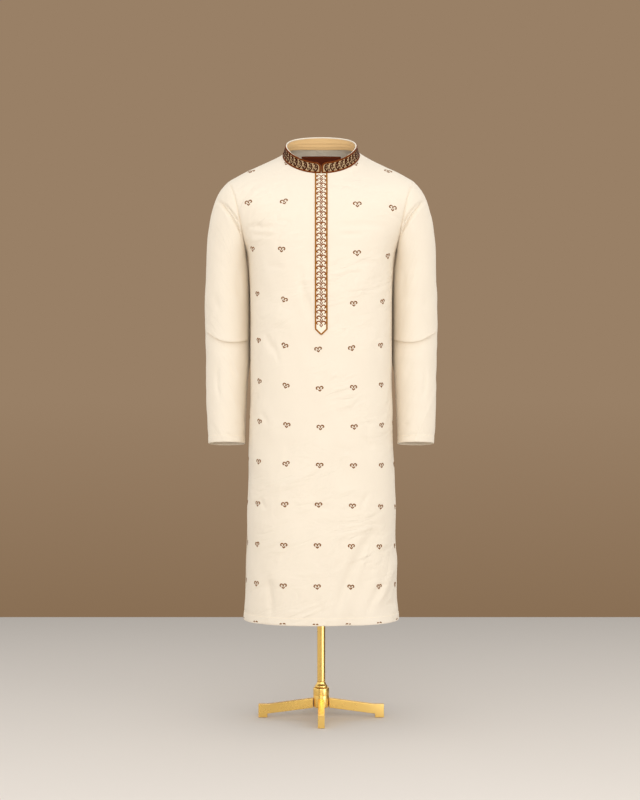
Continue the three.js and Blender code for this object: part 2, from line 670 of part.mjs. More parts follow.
const material = (color, roughness, metalness = 0) => new THREE.MeshStandardMaterial({
  color, roughness, metalness, side: THREE.DoubleSide,
});
const CREAM = material(0xf6e8cf, 0.72);
const TAN = material(0xd9b57c, 0.7);
const BROWN = material(0x7a3f16, 0.6);
const LABEL_BROWN = material(0x4a1d0c, 0.55);
const GOLD = material(0xe0ab4a, 0.22, 1);
const IVORY = material(0xe9e2d3, 0.5);

const part = new THREE.Group();

function add(name, geometry, finish, turn = 0) {
  const mesh = new THREE.Mesh(geometry, finish);
  mesh.name = name;
  mesh.rotation.z = turn;
  part.add(mesh);
}

const front = buildPanel('front');
const back = buildPanel('back');
add('front_panel', front.geometry, CREAM);
add('back_panel', back.geometry, CREAM);
add('sleeve_left', buildSleeve(front.plain, back.plain, 1), CREAM);
add('sleeve_right', buildSleeve(front.plain, back.plain, -1), CREAM);
add('collar_outer_band', buildCollarBand('outer'), CREAM);
add('collar_inner_band', buildCollarBand('inner'), TAN);
add('collar_piping', buildCollarPiping(), BROWN);
add('placket_strip', buildPlacket(front), CREAM);
add('placket_piping', buildPlacketPiping(front), BROWN);
add('neck_label', buildLabel(back), LABEL_BROWN);

add('stand_pole', buildPole(), GOLD);
add('stand_ferrule', buildFerrule(), GOLD);
add('stand_hub', buildHub(), GOLD);
for (const [k, name] of ['left', 'back', 'right', 'front'].entries()) {
  add(`stand_leg_${name}`, buildLeg(), GOLD, (k * Math.PI) / 2);
}
add('shoulder_rest', buildRest(), IVORY);

export default part;
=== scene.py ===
"""A cream panjabi that stands hollow and open on a gold display stand, dressed for a soft studio.

Every cloth piece is a thin shell over one worked-out form: the front and back panels meet at the
shoulder and side seams, the sleeves hang from the armholes, a stand collar of two bands sits on the
neckline and a pointed placket strip runs down the chest. Embroidery, piping and stitches are small
raised threads laid on those surfaces. Sizes are in millimetres until a mesh is made, which is in metres.
The front faces -Y, +Z is up, and the origin is on the floor under the pole.
"""

from __future__ import annotations

import logging
import math
from dataclasses import dataclass, field
from enum import Enum
from functools import cache

import bpy
import numpy as np
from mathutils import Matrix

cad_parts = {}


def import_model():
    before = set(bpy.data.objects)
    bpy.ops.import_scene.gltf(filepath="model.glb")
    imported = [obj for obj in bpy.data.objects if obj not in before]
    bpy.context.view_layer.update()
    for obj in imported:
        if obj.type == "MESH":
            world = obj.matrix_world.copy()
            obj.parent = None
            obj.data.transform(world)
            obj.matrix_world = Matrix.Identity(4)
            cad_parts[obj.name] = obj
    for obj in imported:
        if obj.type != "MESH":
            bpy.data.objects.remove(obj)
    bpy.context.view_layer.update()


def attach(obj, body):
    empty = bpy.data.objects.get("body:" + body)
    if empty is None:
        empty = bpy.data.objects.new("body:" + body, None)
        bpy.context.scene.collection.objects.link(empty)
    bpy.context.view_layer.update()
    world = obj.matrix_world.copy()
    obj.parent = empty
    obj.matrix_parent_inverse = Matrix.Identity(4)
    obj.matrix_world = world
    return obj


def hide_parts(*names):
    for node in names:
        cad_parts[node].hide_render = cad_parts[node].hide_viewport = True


Array = np.ndarray
Mesh = tuple[Array, list[Array], Array]
Pair = tuple[float, float]
Triple = tuple[float, float, float]
Row = tuple[float, ...]
Object = bpy.types.Object
Tree = bpy.types.NodeTree
Node = bpy.types.Node
Socket = bpy.types.NodeSocket
LOG = logging.getLogger("panjabi")
MM = 0.001
CUT = "cut"
SUNK = -0.03


class Side(Enum):
    """The two panels of the body."""

    FRONT = "front"
    BACK = "back"

    @property
    def way(self) -> int:
        """The sign of Y on this side."""
        return -1 if self is Side.FRONT else 1


class Slot(Enum):
    """The part's material slots."""

    CREAM = "cream_cloth"
    TAN = "tan_cloth"
    BROWN = "brown_trim"
    LABEL = "label_cloth"
    GOLD = "gold_metal"
    IVORY = "ivory_plastic"


# ---- small mathematics


def smoothstep(x: Array | float, low: float, high: float) -> Array:
    """An S-shaped rise from 0 at low to 1 at high: 3t² − 2t³ of the share t of the way.

    Args:
        x: the places to read.
        low: where the rise starts.
        high: where it is whole.

    Returns:
        The rise at each place.
    """
    t = np.clip((np.asarray(x, float) - low) / (high - low), 0.0, 1.0)
    return t * t * (3 - 2 * t)


def lerp(a: Array | float, b: Array | float, t: Array | float) -> Array:
    """The straight mix a + (b − a)·t."""
    return a + (b - a) * t


def unit(v: Array) -> Array:
    """Vectors scaled to length 1."""
    return v / np.maximum(np.linalg.norm(v, axis=-1, keepdims=True), 1e-9)


def read_table(at: Array, values: Array, x: Array) -> Array:
    """A smooth curve through a table: a cubic in each span, with slopes that are the mean of the chords.

    Args:
        at: the table's places, rising.
        values: the value at each place.
        x: the places to read, held to the table's ends.

    Returns:
        The curve's value at each x.
    """
    x = np.clip(np.asarray(x, float), at[0], at[-1])
    chord = np.diff(values) / np.diff(at)
    slope = np.concatenate([chord[:1], (chord[:-1] + chord[1:]) / 2, chord[-1:]])
    i = np.clip(np.searchsorted(at, x, side="right") - 1, 0, len(at) - 2)
    span = at[i + 1] - at[i]
    t = (x - at[i]) / span
    return (
        (1 + 2 * t) * (1 - t) ** 2 * values[i]
        + t * (1 - t) ** 2 * span * slope[i]
        + t * t * (3 - 2 * t) * values[i + 1]
        + t * t * (t - 1) * span * slope[i + 1]
    )


def uneven(size: float, turn: float, n: Array, phase: Array | float = 0.0) -> Array:
    """A small change from one repeat to the next: size · sin(turn · n + phase)."""
    return size * np.sin(turn * n + phase)


def hermite(a: Array, leave: Array, b: Array, arrive: Array, t: Array) -> Array:
    """The cubic from a to b that leaves along one vector and arrives along another."""
    return (
        (1 + 2 * t) * (1 - t) ** 2 * a
        + t * (1 - t) ** 2 * leave
        + t * t * (3 - 2 * t) * b
        + t * t * (t - 1) * arrive
    )


def smooth_line(points: Array, count: int) -> Array:
    """A smooth line through a few points, at even steps of its own parameter, by the same cubics.

    Args:
        points: the points, one a row.
        count: how many points to give back.

    Returns:
        The line's points.
    """
    steps = np.concatenate([[0.0], np.cumsum(np.linalg.norm(np.diff(points, axis=0), axis=1))])
    t = np.linspace(0, steps[-1], count)
    return np.stack([read_table(steps, points[:, k], t) for k in range(points.shape[1])], axis=-1)


# ---- meshes


def add_object(name: str, data: bpy.types.ID) -> Object:
    """A new object that shows a mesh, a light or a camera.

    Args:
        name: the object's name.
        data: what it shows.

    Returns:
        The object, in the scene.
    """
    made = bpy.data.objects.new(name, data)
    bpy.context.collection.objects.link(made)
    return made


def make_piece(
    name: str,
    points: Array,
    faces: list[Array],
    uv: Array | None,
    finish: Finish,
    slot: Slot = Slot.CREAM,
    sharp_over: float = 50.0,
    node: str = "",
) -> Object:
    """A mesh object in metres, at the origin, that rides on the part's only body.

    Args:
        name: the piece's name.
        points: its points in millimetres.
        faces: arrays of faces, each with one row a face.
        uv: the place of each point on the cloth or along the thread, in millimetres; a third column
            holds the way round a closed surface, which is added past the seam.
        finish: what it is made of.
        slot: the part's slot that the finish belongs to; not used.
        sharp_over: the angle in degrees past which an edge stays sharp.
        node: the solid that it stands for, if there is one.

    Returns:
        The object.
    """
    mesh = bpy.data.meshes.new(name)
    mesh.from_pydata((points * MM).tolist(), [], [f for block in faces for f in block.tolist()])
    if uv is not None:
        layer = mesh.uv_layers.new(name=CUT)
        corner = np.empty(len(mesh.loops), np.int32)
        mesh.loops.foreach_get("vertex_index", corner)
        place = (uv * MM)[corner]
        if uv.shape[1] == 3:
            u, around = place[:, 0].reshape(-1, 4), place[:, 2].reshape(-1, 4)
            place[:, 0] = (u + around * (u.max(axis=1, keepdims=True) - u > around / 2)).ravel()
        layer.data.foreach_set("uv", place[:, :2].astype(np.float32).ravel())
    mesh.update(calc_edges=True)
    mesh.shade_smooth()
    mesh.set_sharp_from_angle(angle=math.radians(sharp_over))
    mesh.materials.append(finish.material())
    piece = add_object(name, mesh)
    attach(piece, "root")
    if node:
        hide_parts(node)
    return piece


def grid_faces(rows: int, cols: int, closed: bool = False) -> Array:
    """The quads of a grid whose columns run right and rows run down as seen from outside.

    Args:
        rows: how many rows of points.
        cols: how many columns.
        closed: whether the last column joins the first.

    Returns:
        The quads, rows × columns × 4.
    """
    r, c = np.meshgrid(np.arange(rows - 1), np.arange(cols if closed else cols - 1), indexing="ij")
    right = (c + 1) % cols
    return np.stack([r * cols + c, (r + 1) * cols + c, (r + 1) * cols + right, r * cols + right], -1)


@dataclass
class Surface:
    """A grid of points, with its normals and the distance over the cloth along and up each way."""

    points: Array
    closed: bool = False
    level_row: int = 0
    normals: Array = field(init=False)
    across: Array = field(init=False)
    up: Array = field(init=False)

    def __post_init__(self) -> None:
        """Works out the normals and the distances."""
        self.refresh()

    def refresh(self) -> None:
        """Normals are rows crossed with columns; distances are summed steps from the middle and level row."""
        p, cols = self.points, self.points.shape[1]
        along = np.roll(p, -1, 1) - np.roll(p, 1, 1) if self.closed else np.gradient(p, axis=1)
        self.normals = unit(np.cross(np.gradient(p, axis=0), along))
        step = np.linalg.norm(np.diff(p, axis=1), axis=2)
        across = np.concatenate([np.zeros((len(p), 1)), np.cumsum(step, axis=1)], axis=1)
        middle = across[:, cols // 2 - 1: cols // 2 + 1].sum(axis=1, keepdims=True) / 2
        self.across = across - (across[:, :1] if self.closed else middle)
        drop = np.linalg.norm(np.diff(p, axis=0), axis=2)
        down = np.concatenate([np.zeros((1, cols)), np.cumsum(drop, axis=0)], axis=0)
        self.up = down[self.level_row][None] - down

    @property
    def width(self) -> float:
        """The length of the longest row."""
        return float(np.ptp(self.across, axis=1).max())

    @property
    def height(self) -> float:
        """The length of the longest column."""
        return float(np.ptp(self.up, axis=0).max())

    def area(self, keep: Array | None = None) -> float:
        """The area of the cells in square metres: half the cross of each cell's diagonals.

        Args:
            keep: which cells are there.

        Returns:
            The area.
        """
        p = self.points
        if self.closed:
            p = np.concatenate([p, p[:, :1]], axis=1)
        cells = np.linalg.norm(np.cross(p[1:, 1:] - p[:-1, :-1], p[1:, :-1] - p[:-1, 1:]), axis=-1) / 2
        return float((cells if keep is None else cells[keep]).sum()) * MM * MM

    def mix(self, grid: Array, row: Array, col: Array) -> Array:
        """A grid read between its points, in proportion to the distance to the four around.

        Args:
            grid: what to read, rows × columns or rows × columns × anything.
            row: the rows, not whole numbers.
            col: the columns.

        Returns:
            The values read.
        """
        rows, cols = grid.shape[:2]
        row = np.clip(row, 0, rows - 1)
        r = np.minimum(row.astype(int), rows - 2)
        if self.closed:
            c = np.floor(col).astype(int)
            x, y, c, after = row - r, col - c, c % cols, (c + 1) % cols
        else:
            col = np.clip(col, 0, cols - 1)
            c = np.minimum(col.astype(int), cols - 2)
            x, y, after = row - r, col - c, c + 1
        if grid.ndim == 3:
            x, y = x[..., None], y[..., None]
        top = grid[r, c] * (1 - y) + grid[r, after] * y
        low = grid[r + 1, c] * (1 - y) + grid[r + 1, after] * y
        return top * (1 - x) + low * x

    def facing(self, row: Array, col: Array) -> Array:
        """The unit normals between the grid's own points."""
        return unit(self.mix(self.normals, row, col))

    def sample(self, row: Array, col: Array, lift: Array | float = 0.0) -> Array:
        """Points between the grid's own, moved out along the normal by the lift."""
        return self.mix(self.points, row, col) + self.facing(row, col) * np.asarray(lift, float)[..., None]

    def slopes(self, grid: Array, row: Array, col: Array) -> tuple[Array, Array]:
        """How much a grid changes over a row and over a column, at places on it."""
        r0, c0 = np.floor(row), np.floor(col)
        return (self.mix(grid, r0 + 1, col) - self.mix(grid, r0, col),
                self.mix(grid, row, c0 + 1) - self.mix(grid, row, c0))

    def locate(self, first: Array, second: Array, a: Array, b: Array) -> tuple[Array, Array]:
        """The row and column where two grids have the wanted values, found by Newton's steps.

        Args:
            first: one grid, such as the distance across.
            second: the other, such as the height.
            a: the values wanted of the first.
            b: the values wanted of the second.

        Returns:
            The rows and the columns.
        """
        rows, cols = first.shape
        near, far = first[::4, ::4].ravel()[None], second[::4, ::4].ravel()[None]
        best = np.concatenate([
            ((near - u[:, None]) ** 2 + (far - v[:, None]) ** 2).argmin(axis=1)
            for u, v in zip(np.array_split(a.ravel(), 8), np.array_split(b.ravel(), 8))
        ])
        width = len(range(0, cols, 4))
        row = (best // width * 4.0).reshape(a.shape)
        col = (best % width * 4.0).reshape(a.shape)
        for _ in range(10):
            row, col = np.clip(row, 0, rows - 1.001), np.clip(col, 0, cols - 1.001)
            (f_r, f_c), (g_r, g_c) = self.slopes(first, row, col), self.slopes(second, row, col)
            f, g = a - self.mix(first, row, col), b - self.mix(second, row, col)
            det = f_r * g_c - f_c * g_r
            det = np.where(np.abs(det) < 1e-9, 1e-9, det)
            row = row + np.clip((f * g_c - g * f_c) / det, -6, 6)
            col = col + np.clip((g * f_r - f * g_r) / det, -6, 6)
        return np.clip(row, 0, rows - 1), np.clip(col, 0, cols - 1)

    def project(self, points: Array, row: Array, col: Array) -> tuple[Array, Array]:
        """The rows and columns nearest to points: each step solves the two slopes' normal equations.

        Args:
            points: the points, close to the surface.
            row: where to start looking.
            col: the same for the columns.

        Returns:
            The rows and the columns, which may run past the surface's edges.
        """
        rows, cols = self.points.shape[:2]
        for _ in range(9):
            r0 = np.clip(np.floor(row), 0, rows - 2)
            c0 = np.floor(col) if self.closed else np.clip(np.floor(col), 0, cols - 2)
            held = col if self.closed else np.clip(col, 0, cols - 1)
            along_r = self.mix(self.points, r0 + 1, held) - self.mix(self.points, r0, held)
            along_c = self.mix(self.points, row, c0 + 1) - self.mix(self.points, row, c0)
            here = self.mix(self.points, r0, c0)
            here = here + along_r * (row - r0)[..., None] + along_c * (col - c0)[..., None]
            gap = points - here
            rr, cc, rc = (along_r**2).sum(-1), (along_c**2).sum(-1), (along_r * along_c).sum(-1)
            gr, gc = (gap * along_r).sum(-1), (gap * along_c).sum(-1)
            det = np.maximum(rr * cc - rc * rc, 1e-9)
            row = np.clip(row + np.clip((gr * cc - gc * rc) / det, -8, 8), -9, rows + 9)
            col = col + np.clip((gc * rr - gr * rc) / det, -8, 8)
            col = col if self.closed else np.clip(col, -9, cols + 9)
        return row, col

    def shell(self, thick: float, keep: Array | None = None) -> Mesh:
        """The surface, the same surface moved in by the cloth's thickness, and a rounded rim between.

        The rim is one more point for each border point: halfway in, and pushed out from the border.

        Args:
            thick: the cloth's thickness.
            keep: which cells of the grid are there.

        Returns:
            The points, the faces and each point's place on the cut cloth.
        """
        rows, cols = self.points.shape[:2]
        quads = grid_faces(rows, cols, self.closed)
        quads = quads.reshape(-1, 4) if keep is None else quads[keep]
        outer = self.points.reshape(-1, 3)
        normals = self.normals.reshape(-1, 3)
        count = len(outer)
        edges = np.concatenate([quads[:, [k, (k + 1) % 4]] for k in range(4)])
        key = edges.min(axis=1) * count + edges.max(axis=1)
        _, where, uses = np.unique(key, return_index=True, return_counts=True)
        border = edges[where[uses == 1]]
        ids, slots = np.unique(border, return_inverse=True)
        slots = slots.reshape(border.shape)
        along = outer[border[:, 1]] - outer[border[:, 0]]
        push = np.zeros((len(ids), 3))
        for k in (0, 1):
            np.add.at(push, slots[:, k], unit(np.cross(along, normals[border[:, k]])))
        rim = outer[ids] - normals[ids] * thick / 2 + unit(push) * thick * 0.42
        a, b = border[:, 0], border[:, 1]
        ra, rb = slots[:, 0] + 2 * count, slots[:, 1] + 2 * count
        faces = [
            quads,
            quads[:, ::-1] + count,
            np.stack([b, a, ra, rb], -1),
            np.stack([rb, ra, a + count, b + count], -1),
        ]
        uv = np.stack([self.across, self.up], -1)
        if self.closed:
            last = np.linalg.norm(self.points[:, 0] - self.points[:, -1], axis=1)
            around = np.broadcast_to((self.across[:, -1] + last)[:, None, None], (rows, cols, 1))
            uv = np.concatenate([uv, around], axis=2)
            uv[..., :1] -= np.where(uv[..., :1] > around / 2, around, 0)
        uv = uv.reshape(rows * cols, -1)
        points = np.concatenate([outer, outer - normals * thick, rim])
        return points, faces, np.concatenate([uv, uv, uv[ids]])


def make_sheet(
    name: str,
    surface: Surface,
    thick: float,
    finish: Finish,
    slot: Slot = Slot.CREAM,
    node: str = "",
    keep: Array | None = None,
) -> Object:
    """A piece of cloth: the shell of a surface, in place of the solid that it stands for, with its place on
    the cut cloth.

    Args:
        name: the solid's name; the piece's own has an ending.
        surface: the cloth's outer face.
        thick: how thick it is.
        finish: what it is made of.
        slot: the part's slot that the finish belongs to.
        node: the solid's name where it differs.
        keep: which cells of the surface are there.

    Returns:
        The piece.
    """
    piece = make_piece(f"{name}_cloth", *surface.shell(thick, keep), finish, slot, node=node or name)
    area = surface.area(keep)
    return piece


# ---- creases


@dataclass(frozen=True)
class Crease:
    """One soft fold, placed on the front view: a trough, or a ridge where depth is negative."""

    x0: float
    z0: float
    x1: float
    z1: float
    width: float
    depth: float
    bow: float = 0.0
    lean: float = 0.0
    tail: float = 0.4

    def along(self, x: Array, z: Array) -> tuple[Array, Array]:
        """The share of the way along the fold's straight line, and the distance off it.

        Args:
            x: the places across.
            z: the heights.

        Returns:
            The shares and the distances.
        """
        length = math.hypot(self.x1 - self.x0, self.z1 - self.z0)
        dx, dz = (self.x1 - self.x0) / length, (self.z1 - self.z0) / length
        x, z = x - self.x0, z - self.z0
        return (x * dx + z * dz) / length, x * dz - z * dx

    def height(self, x: Array, z: Array) -> Array:
        """How far the fold moves the cloth out: −depth·ends·(1 − lean·o)·exp(−o²), o being the distance
        off its bowed line over its width, and ends an S-shaped fade over the tail at either end.

        Args:
            x: the places across.
            z: the heights.

        Returns:
            The move outwards.
        """
        t, off = self.along(x, z)
        ends = smoothstep(t, -0.02, self.tail) * smoothstep(1.02 - t, 0.0, self.tail)
        o = (off - self.bow * 4 * t * (1 - t)) / self.width
        return -self.depth * ends * (1 - self.lean * o) * np.exp(-o * o)


@dataclass(frozen=True)
class Unevenness:
    """The slack of hanging cloth: a few long waves of small height that cross each other."""

    height: float = 0.75
    longest: float = 210.0
    turn: float = 0.4

    def at(self, x: Array, z: Array) -> Array:
        """The sum of five sines, each shorter and lower than the one before and turned from it.

        Args:
            x: the places across.
            z: the heights.

        Returns:
            The move outwards.
        """
        total = np.zeros_like(x, float)
        for k in range(5):
            angle = self.turn + 2.4 * k
            wave = 2 * math.pi / (self.longest * 0.72**k)
            phase = wave * (x * math.cos(angle) + z * math.sin(angle) * 0.7) + 1.7 * k
            total += 0.8**k * np.sin(phase + 0.9 * np.sin(phase * 0.43 + k))
        return total * self.height


def turned_edge(over: Array, turn: float, swell: float, dent: float) -> Array:
    """A turned-up edge: the doubled cloth stands out, and its row of stitches draws a dent as exp(−o²).

    Args:
        over: how far each place is over the edge.
        turn: how wide the turning is.
        swell: how far the doubled cloth stands out.
        dent: how deep the stitches draw.

    Returns:
        The move outwards.
    """
    doubled = 1 - smoothstep(over, turn - 1.5, turn + 1)
    return swell * doubled - dent * np.exp(-(((over - turn) / 2.2) ** 2))


# ---- the body's form


@dataclass(frozen=True)
class Ring:
    """A ring that dips to the front, as the neckline and the collar's top do."""

    half: float
    deep: float
    shift: float
    side: float
    dip: float
    bow: float
    bend: float

    def at(self, angle: Array) -> Array:
        """The point at an angle from the front: an ellipse whose height is a cubic in the cosine.

        Args:
            angle: the angles, growing towards +X.

        Returns:
            The points.
        """
        s = np.cos(angle)
        y = -self.deep * s - self.shift * s * s
        z = self.side - self.dip * s - self.bow * s * s - self.bend * s**3
        return np.stack([self.half * np.sin(angle), y, z], -1)


@dataclass(frozen=True)
class BodyForm:
    """The form that the panels hang on: superellipse sections that roll over to the shoulder ridge."""

    hem_z: float = 225.0
    chest_z: float = 1046.0
    vent_top_z: float = 520.0
    neck_half: float = 86.0
    neck_side_z: float = 1262.0
    tip_x: float = 207.0
    section_power: float = 2.6
    roll_power: float = 2.4
    slope: float = 0.3
    fall: float = 0.00128
    rise: float = 3.0
    reach: float = 8.0
    neck_fade: float = 70.0
    lift_from: float = 110.0
    armhole: Triple = (168.0, 0.175, 11.3)
    tip_fade: Pair = (1184.0, 1204.0)
    neckline: Ring = Ring(86.0, 73.0, 3.0, 1262.0, 40.4, 12.7, -4.1)
    heights: Row = (225, 263, 376, 488, 578, 713, 826, 938, 1000, 1046, 1073, 1094, 1127, 1171, 1204, 1232,
                    1262, 1290)
    halves: Row = (173, 171, 167.5, 165, 162, 159, 158.8, 159.5, 162, 168, 180, 192, 214, 262, 330, 400,
                   470, 520)
    fronts: Row = (160, 158, 152, 146, 141, 135, 132, 132, 133, 132, 130, 127, 120, 103, 82, 62, 42, 25)
    backs: Row = (160, 158, 153, 148, 142, 133, 127, 128, 131, 134, 134, 133, 130, 122, 112, 98, 73, 45)

    def half(self, z: Array) -> Array:
        """Half the body's width at a height."""
        return read_table(np.array(self.heights, float), np.array(self.halves, float), z)

    def middle(self, side: Side, z: Array) -> Array:
        """The body's depth on its centre line at a height."""
        column = self.fronts if side is Side.FRONT else self.backs
        return read_table(np.array(self.heights, float), np.array(column, float), z)

    def ridge(self, x: Array) -> Array:
        """Height of the shoulder ridge: a slope, a square fall, and a small rise towards the neck.

        Args:
            x: the places across.

        Returns:
            The heights.
        """
        d = np.abs(x) - self.neck_half
        out = np.maximum(d, 0)
        near = self.rise * (1 - np.exp(-out / self.reach))
        return self.neck_side_z - self.slope * d - self.fall * out**2 - near

    def roll(self, x: Array, z: Array) -> Array:
        """The share of its depth that the form keeps: (1 − t^p)^(1/p), t rising from chest to ridge."""
        t = np.clip((z - self.chest_z) / (self.ridge(x) - self.chest_z), 0, 1)
        return (1 - t**self.roll_power) ** (1 / self.roll_power)

    def depth(self, side: Side, x: Array, z: Array) -> Array:
        """Depth of the form at (x, z): the middle depth, a superellipse across, and the roll.

        Args:
            side: front or back.
            x: the places across.
            z: the heights.

        Returns:
            The distance from the ridge's plane.
        """
        t = np.minimum(np.abs(x) / self.half(z), 1)
        across = (1 - t**self.section_power) ** (1 / self.section_power)
        return self.middle(side, z) / self.roll(np.zeros_like(x), z) * across * self.roll(x, z)

    def armhole_x(self, z: Array) -> Array:
        """The armhole seam's x at a height, on the +X side: a lean and a late flare."""
        (foot, lean, flare), h = self.armhole, z - self.chest_z
        return foot + lean * h + flare * (h / (self.ridge(self.tip_x) - self.chest_z)) ** 4

    def below_tip(self, z: Array) -> Array:
        """1 below the shoulder's tip, and falling to 0 at it, where the armhole's groove runs out."""
        low, high = self.tip_fade
        return smoothstep(-z, -high, -low)

    def form_height(self, side: Side, x: Array, wanted: Array) -> Array:
        """The height at which the form has a wanted depth, found by halving.

        Args:
            side: front or back.
            x: the places across.
            wanted: the depths.

        Returns:
            The heights.
        """
        low, high = np.full_like(x, self.chest_z), self.ridge(x)
        for _ in range(34):
            middle = (low + high) / 2
            deeper = self.depth(side, x, middle) > wanted
            low, high = np.where(deeper, middle, low), np.where(deeper, high, middle)
        return (low + high) / 2

    def neck_lift(self, side: Side, x: Array, y: Array) -> Array:
        """How far the neckline's own rise and dip lift the form, fading away from the neck.

        Args:
            side: front or back.
            x: the places across.
            y: the depths there.

        Returns:
            The lift.
        """
        across, along = np.abs(x) / self.neckline.half, np.abs(y) / self.neckline.deep
        ring = self.neckline.at(np.arctan2(across, -side.way * along))
        beyond = np.maximum(np.hypot(across, along) - 1, 0) * self.neckline.half
        rise = ring[..., 2] - self.form_height(side, ring[..., 0], np.abs(ring[..., 1]))
        return rise * np.exp(-((beyond / self.neck_fade) ** 2))

    def ridge_normal(self, x: Array) -> Array:
        """The way the shoulder ridge faces."""
        tilt = (self.ridge(x - 1) - self.ridge(x + 1)) / 2
        return unit(np.stack([tilt, np.zeros_like(tilt), np.ones_like(tilt)], -1))

    def armhole_normal(self, hand: Array | float, turn: Array) -> Array:
        """The way the armhole seam faces at a turn round it: a mitre that tips up and out at the top."""
        out = hand * 0.45 * (0.5 + 0.5 * np.cos(turn))
        return unit(np.stack([out, -np.sin(turn), 0.9 * np.cos(turn)], -1))

    def neck_normal(self, angle: Array) -> Array:
        """The way the neckline faces at an angle from the front."""
        return unit(np.stack([np.sin(angle), -np.cos(angle), np.full_like(angle, 0.55)], -1))


# ---- the panels


@dataclass
class Panel:
    """The front or back of the body, with its folds, its hem and its side vents."""

    form: BodyForm
    side: Side
    cloth: Finish
    thick: float = 1.5
    upper_rows: int = 60
    lower_rows: tuple[int, ...] = (34, 65, 51, 7)
    hem_rows_from: float = 245.0
    per_step: int = 8
    neck_steps: int = 6
    shoulder_steps: int = 5
    slit_half: float = 1.0
    slit_reach: float = 60.0
    slit_foot_z: float = 867.0
    vent_opening: float = 5.0
    vent_fade: float = 60.0
    side_fade: float = 26.0
    top_fade: float = 24.0
    eased: int = 10
    seam_gap: float = 0.15
    hem_turn: float = 17.0
    pucker: float = 0.28
    pucker_over: float = 21.0
    pucker_reach: float = 13.0
    pucker_wave: Triple = (7.4, 2.1, 41.0)
    hem_swell: float = 0.45
    hem_dent: float = 0.5
    groove: Pair = (0.3, 2.2)
    groove_half: float = 1.7
    unevenness: Unevenness = Unevenness()
    folds: tuple[Crease, ...] = ()
    creases: tuple[Crease, ...] = ()
    surface: Surface = field(init=False)
    seam: Array = field(init=False)

    def lower_heights(self) -> Array:
        """Heights of the rows below the chest; the slit's foot and the vent's top are rows.

        Returns:
            The heights, falling.
        """
        form = self.form
        stops = (form.chest_z, self.slit_foot_z, form.vent_top_z, self.hem_rows_from, form.hem_z)
        runs = zip(stops, stops[1:], self.lower_rows)
        return np.concatenate([np.linspace(high, low, count + 1)[1:] for high, low, count in runs])

    def half_grid(self) -> Array:
        """The +X half: columns go from the centre line to the side in equal turns of the section,
        and rows above the chest run from the neck and shoulder seams down in a cosine's steps.

        Returns:
            Rows × columns × 3 points.
        """
        form, side = self.form, self.side
        steps = self.neck_steps + self.shoulder_steps
        s = np.arange(steps * self.per_step + 1) / self.per_step

        def make_room(x: Array) -> Array:
            """Columns drawn aside for the slit, less and less away from it."""
            return x + self.slit_half * np.maximum(1 - x / self.slit_reach, 0)

        def level(z: Array) -> Array:
            """x of every column at a height."""
            across = np.sin(s / steps * np.pi / 2) ** (2 / form.section_power)
            return make_room(form.half(z)[:, None] * across[None])

        top_x = np.where(
            s <= self.neck_steps,
            make_room(form.neck_half * np.sin(np.clip(s / self.neck_steps, 0, 1) * np.pi / 2)),
            lerp(form.neck_half, form.tip_x, (s - self.neck_steps) / self.shoulder_steps),
        )
        a = np.arcsin(np.clip(top_x / form.neck_half, 0, 1))
        ring = form.neckline.at(a if side is Side.FRONT else np.pi - a)
        top_z = np.where(s < self.neck_steps, form.form_height(side, ring[:, 0], np.abs(ring[:, 1])),
                         form.ridge(top_x))
        share = (1 + np.cos(np.pi * np.arange(self.upper_rows + 1) / self.upper_rows)) / 2
        tip_z = form.ridge(form.tip_x)
        edge = form.armhole_x(lerp(form.chest_z, tip_z, share))
        first = form.armhole_x(form.chest_z)
        mix = (edge - first) / (form.armhole_x(tip_z) - first)
        upper_x = lerp(level(np.array([form.chest_z])), top_x[None], mix[:, None])
        upper_z = lerp(form.chest_z, top_z[None], share[:, None])
        lower = self.lower_heights()
        x = np.concatenate([upper_x, level(lower)])
        z = np.concatenate([upper_z, np.repeat(lower[:, None], len(s), axis=1)])
        out = form.depth(side, x, z)
        out[:, -1] = np.where(z[:, -1] <= form.chest_z + 1e-6, 0, out[:, -1])
        lifted = z + smoothstep(z, form.chest_z, form.chest_z + form.lift_from) * form.neck_lift(side, x, out)
        return np.stack([x, side.way * out, lifted], -1)

    def press_folds(self, grid: Array) -> Array:
        """The largest folds press the panel in: depth·(S-shaped start)·exp(−(off/width)²).

        Args:
            grid: the panel's points.

        Returns:
            The points, pressed in.
        """
        press = np.zeros(grid.shape[:2])
        for fold in self.folds:
            t, off = fold.along(grid[..., 0], grid[..., 2])
            press += fold.depth * smoothstep(t, 0, 0.6) * np.exp(-((off / fold.width) ** 2))
        pressed = grid.copy()
        pressed[..., 1] -= self.side.way * np.minimum(press, np.abs(grid[..., 1]))
        return pressed

    def relief(self, surface: Surface) -> Array:
        """How far creases, slack and the turned-up hem move each point out. All fade at the seams, where
        a narrow groove runs, deepest down the armhole. Puckers over the hem are a sine of an uneven sine.

        Args:
            surface: the panel before its relief.

        Returns:
            The move outwards.
        """
        form, across = self.form, surface.across
        x, z = surface.points[..., 0], surface.points[..., 2]
        from_side = np.minimum(across - across[:, :1], across[:, -1:] - across)
        vent = smoothstep(form.vent_top_z - z, 0, self.vent_fade)
        seams = lerp(smoothstep(from_side, 0, self.side_fade), 1.0, vent)
        seams = seams * smoothstep(surface.up[:1] - surface.up, 0, self.top_fade)
        slack = self.unevenness.at(x, z) + sum(c.height(x, z) for c in self.creases)
        over = z - form.hem_z
        short, sway, long = self.pucker_wave
        wave = np.sin(across / short + sway * np.sin(across / long))
        wave = self.pucker * wave * np.exp(-(((over - self.pucker_over) / self.pucker_reach) ** 2))
        armhole = smoothstep(z, form.chest_z - 4, form.chest_z + 12) * form.below_tip(z)
        from_edge = np.minimum(from_side, over + 3) / self.groove_half
        groove = lerp(*self.groove, armhole) * np.exp(-(from_edge**2))
        hem = turned_edge(over, self.hem_turn, self.hem_swell, self.hem_dent)
        return (slack + wave) * seams + hem - groove

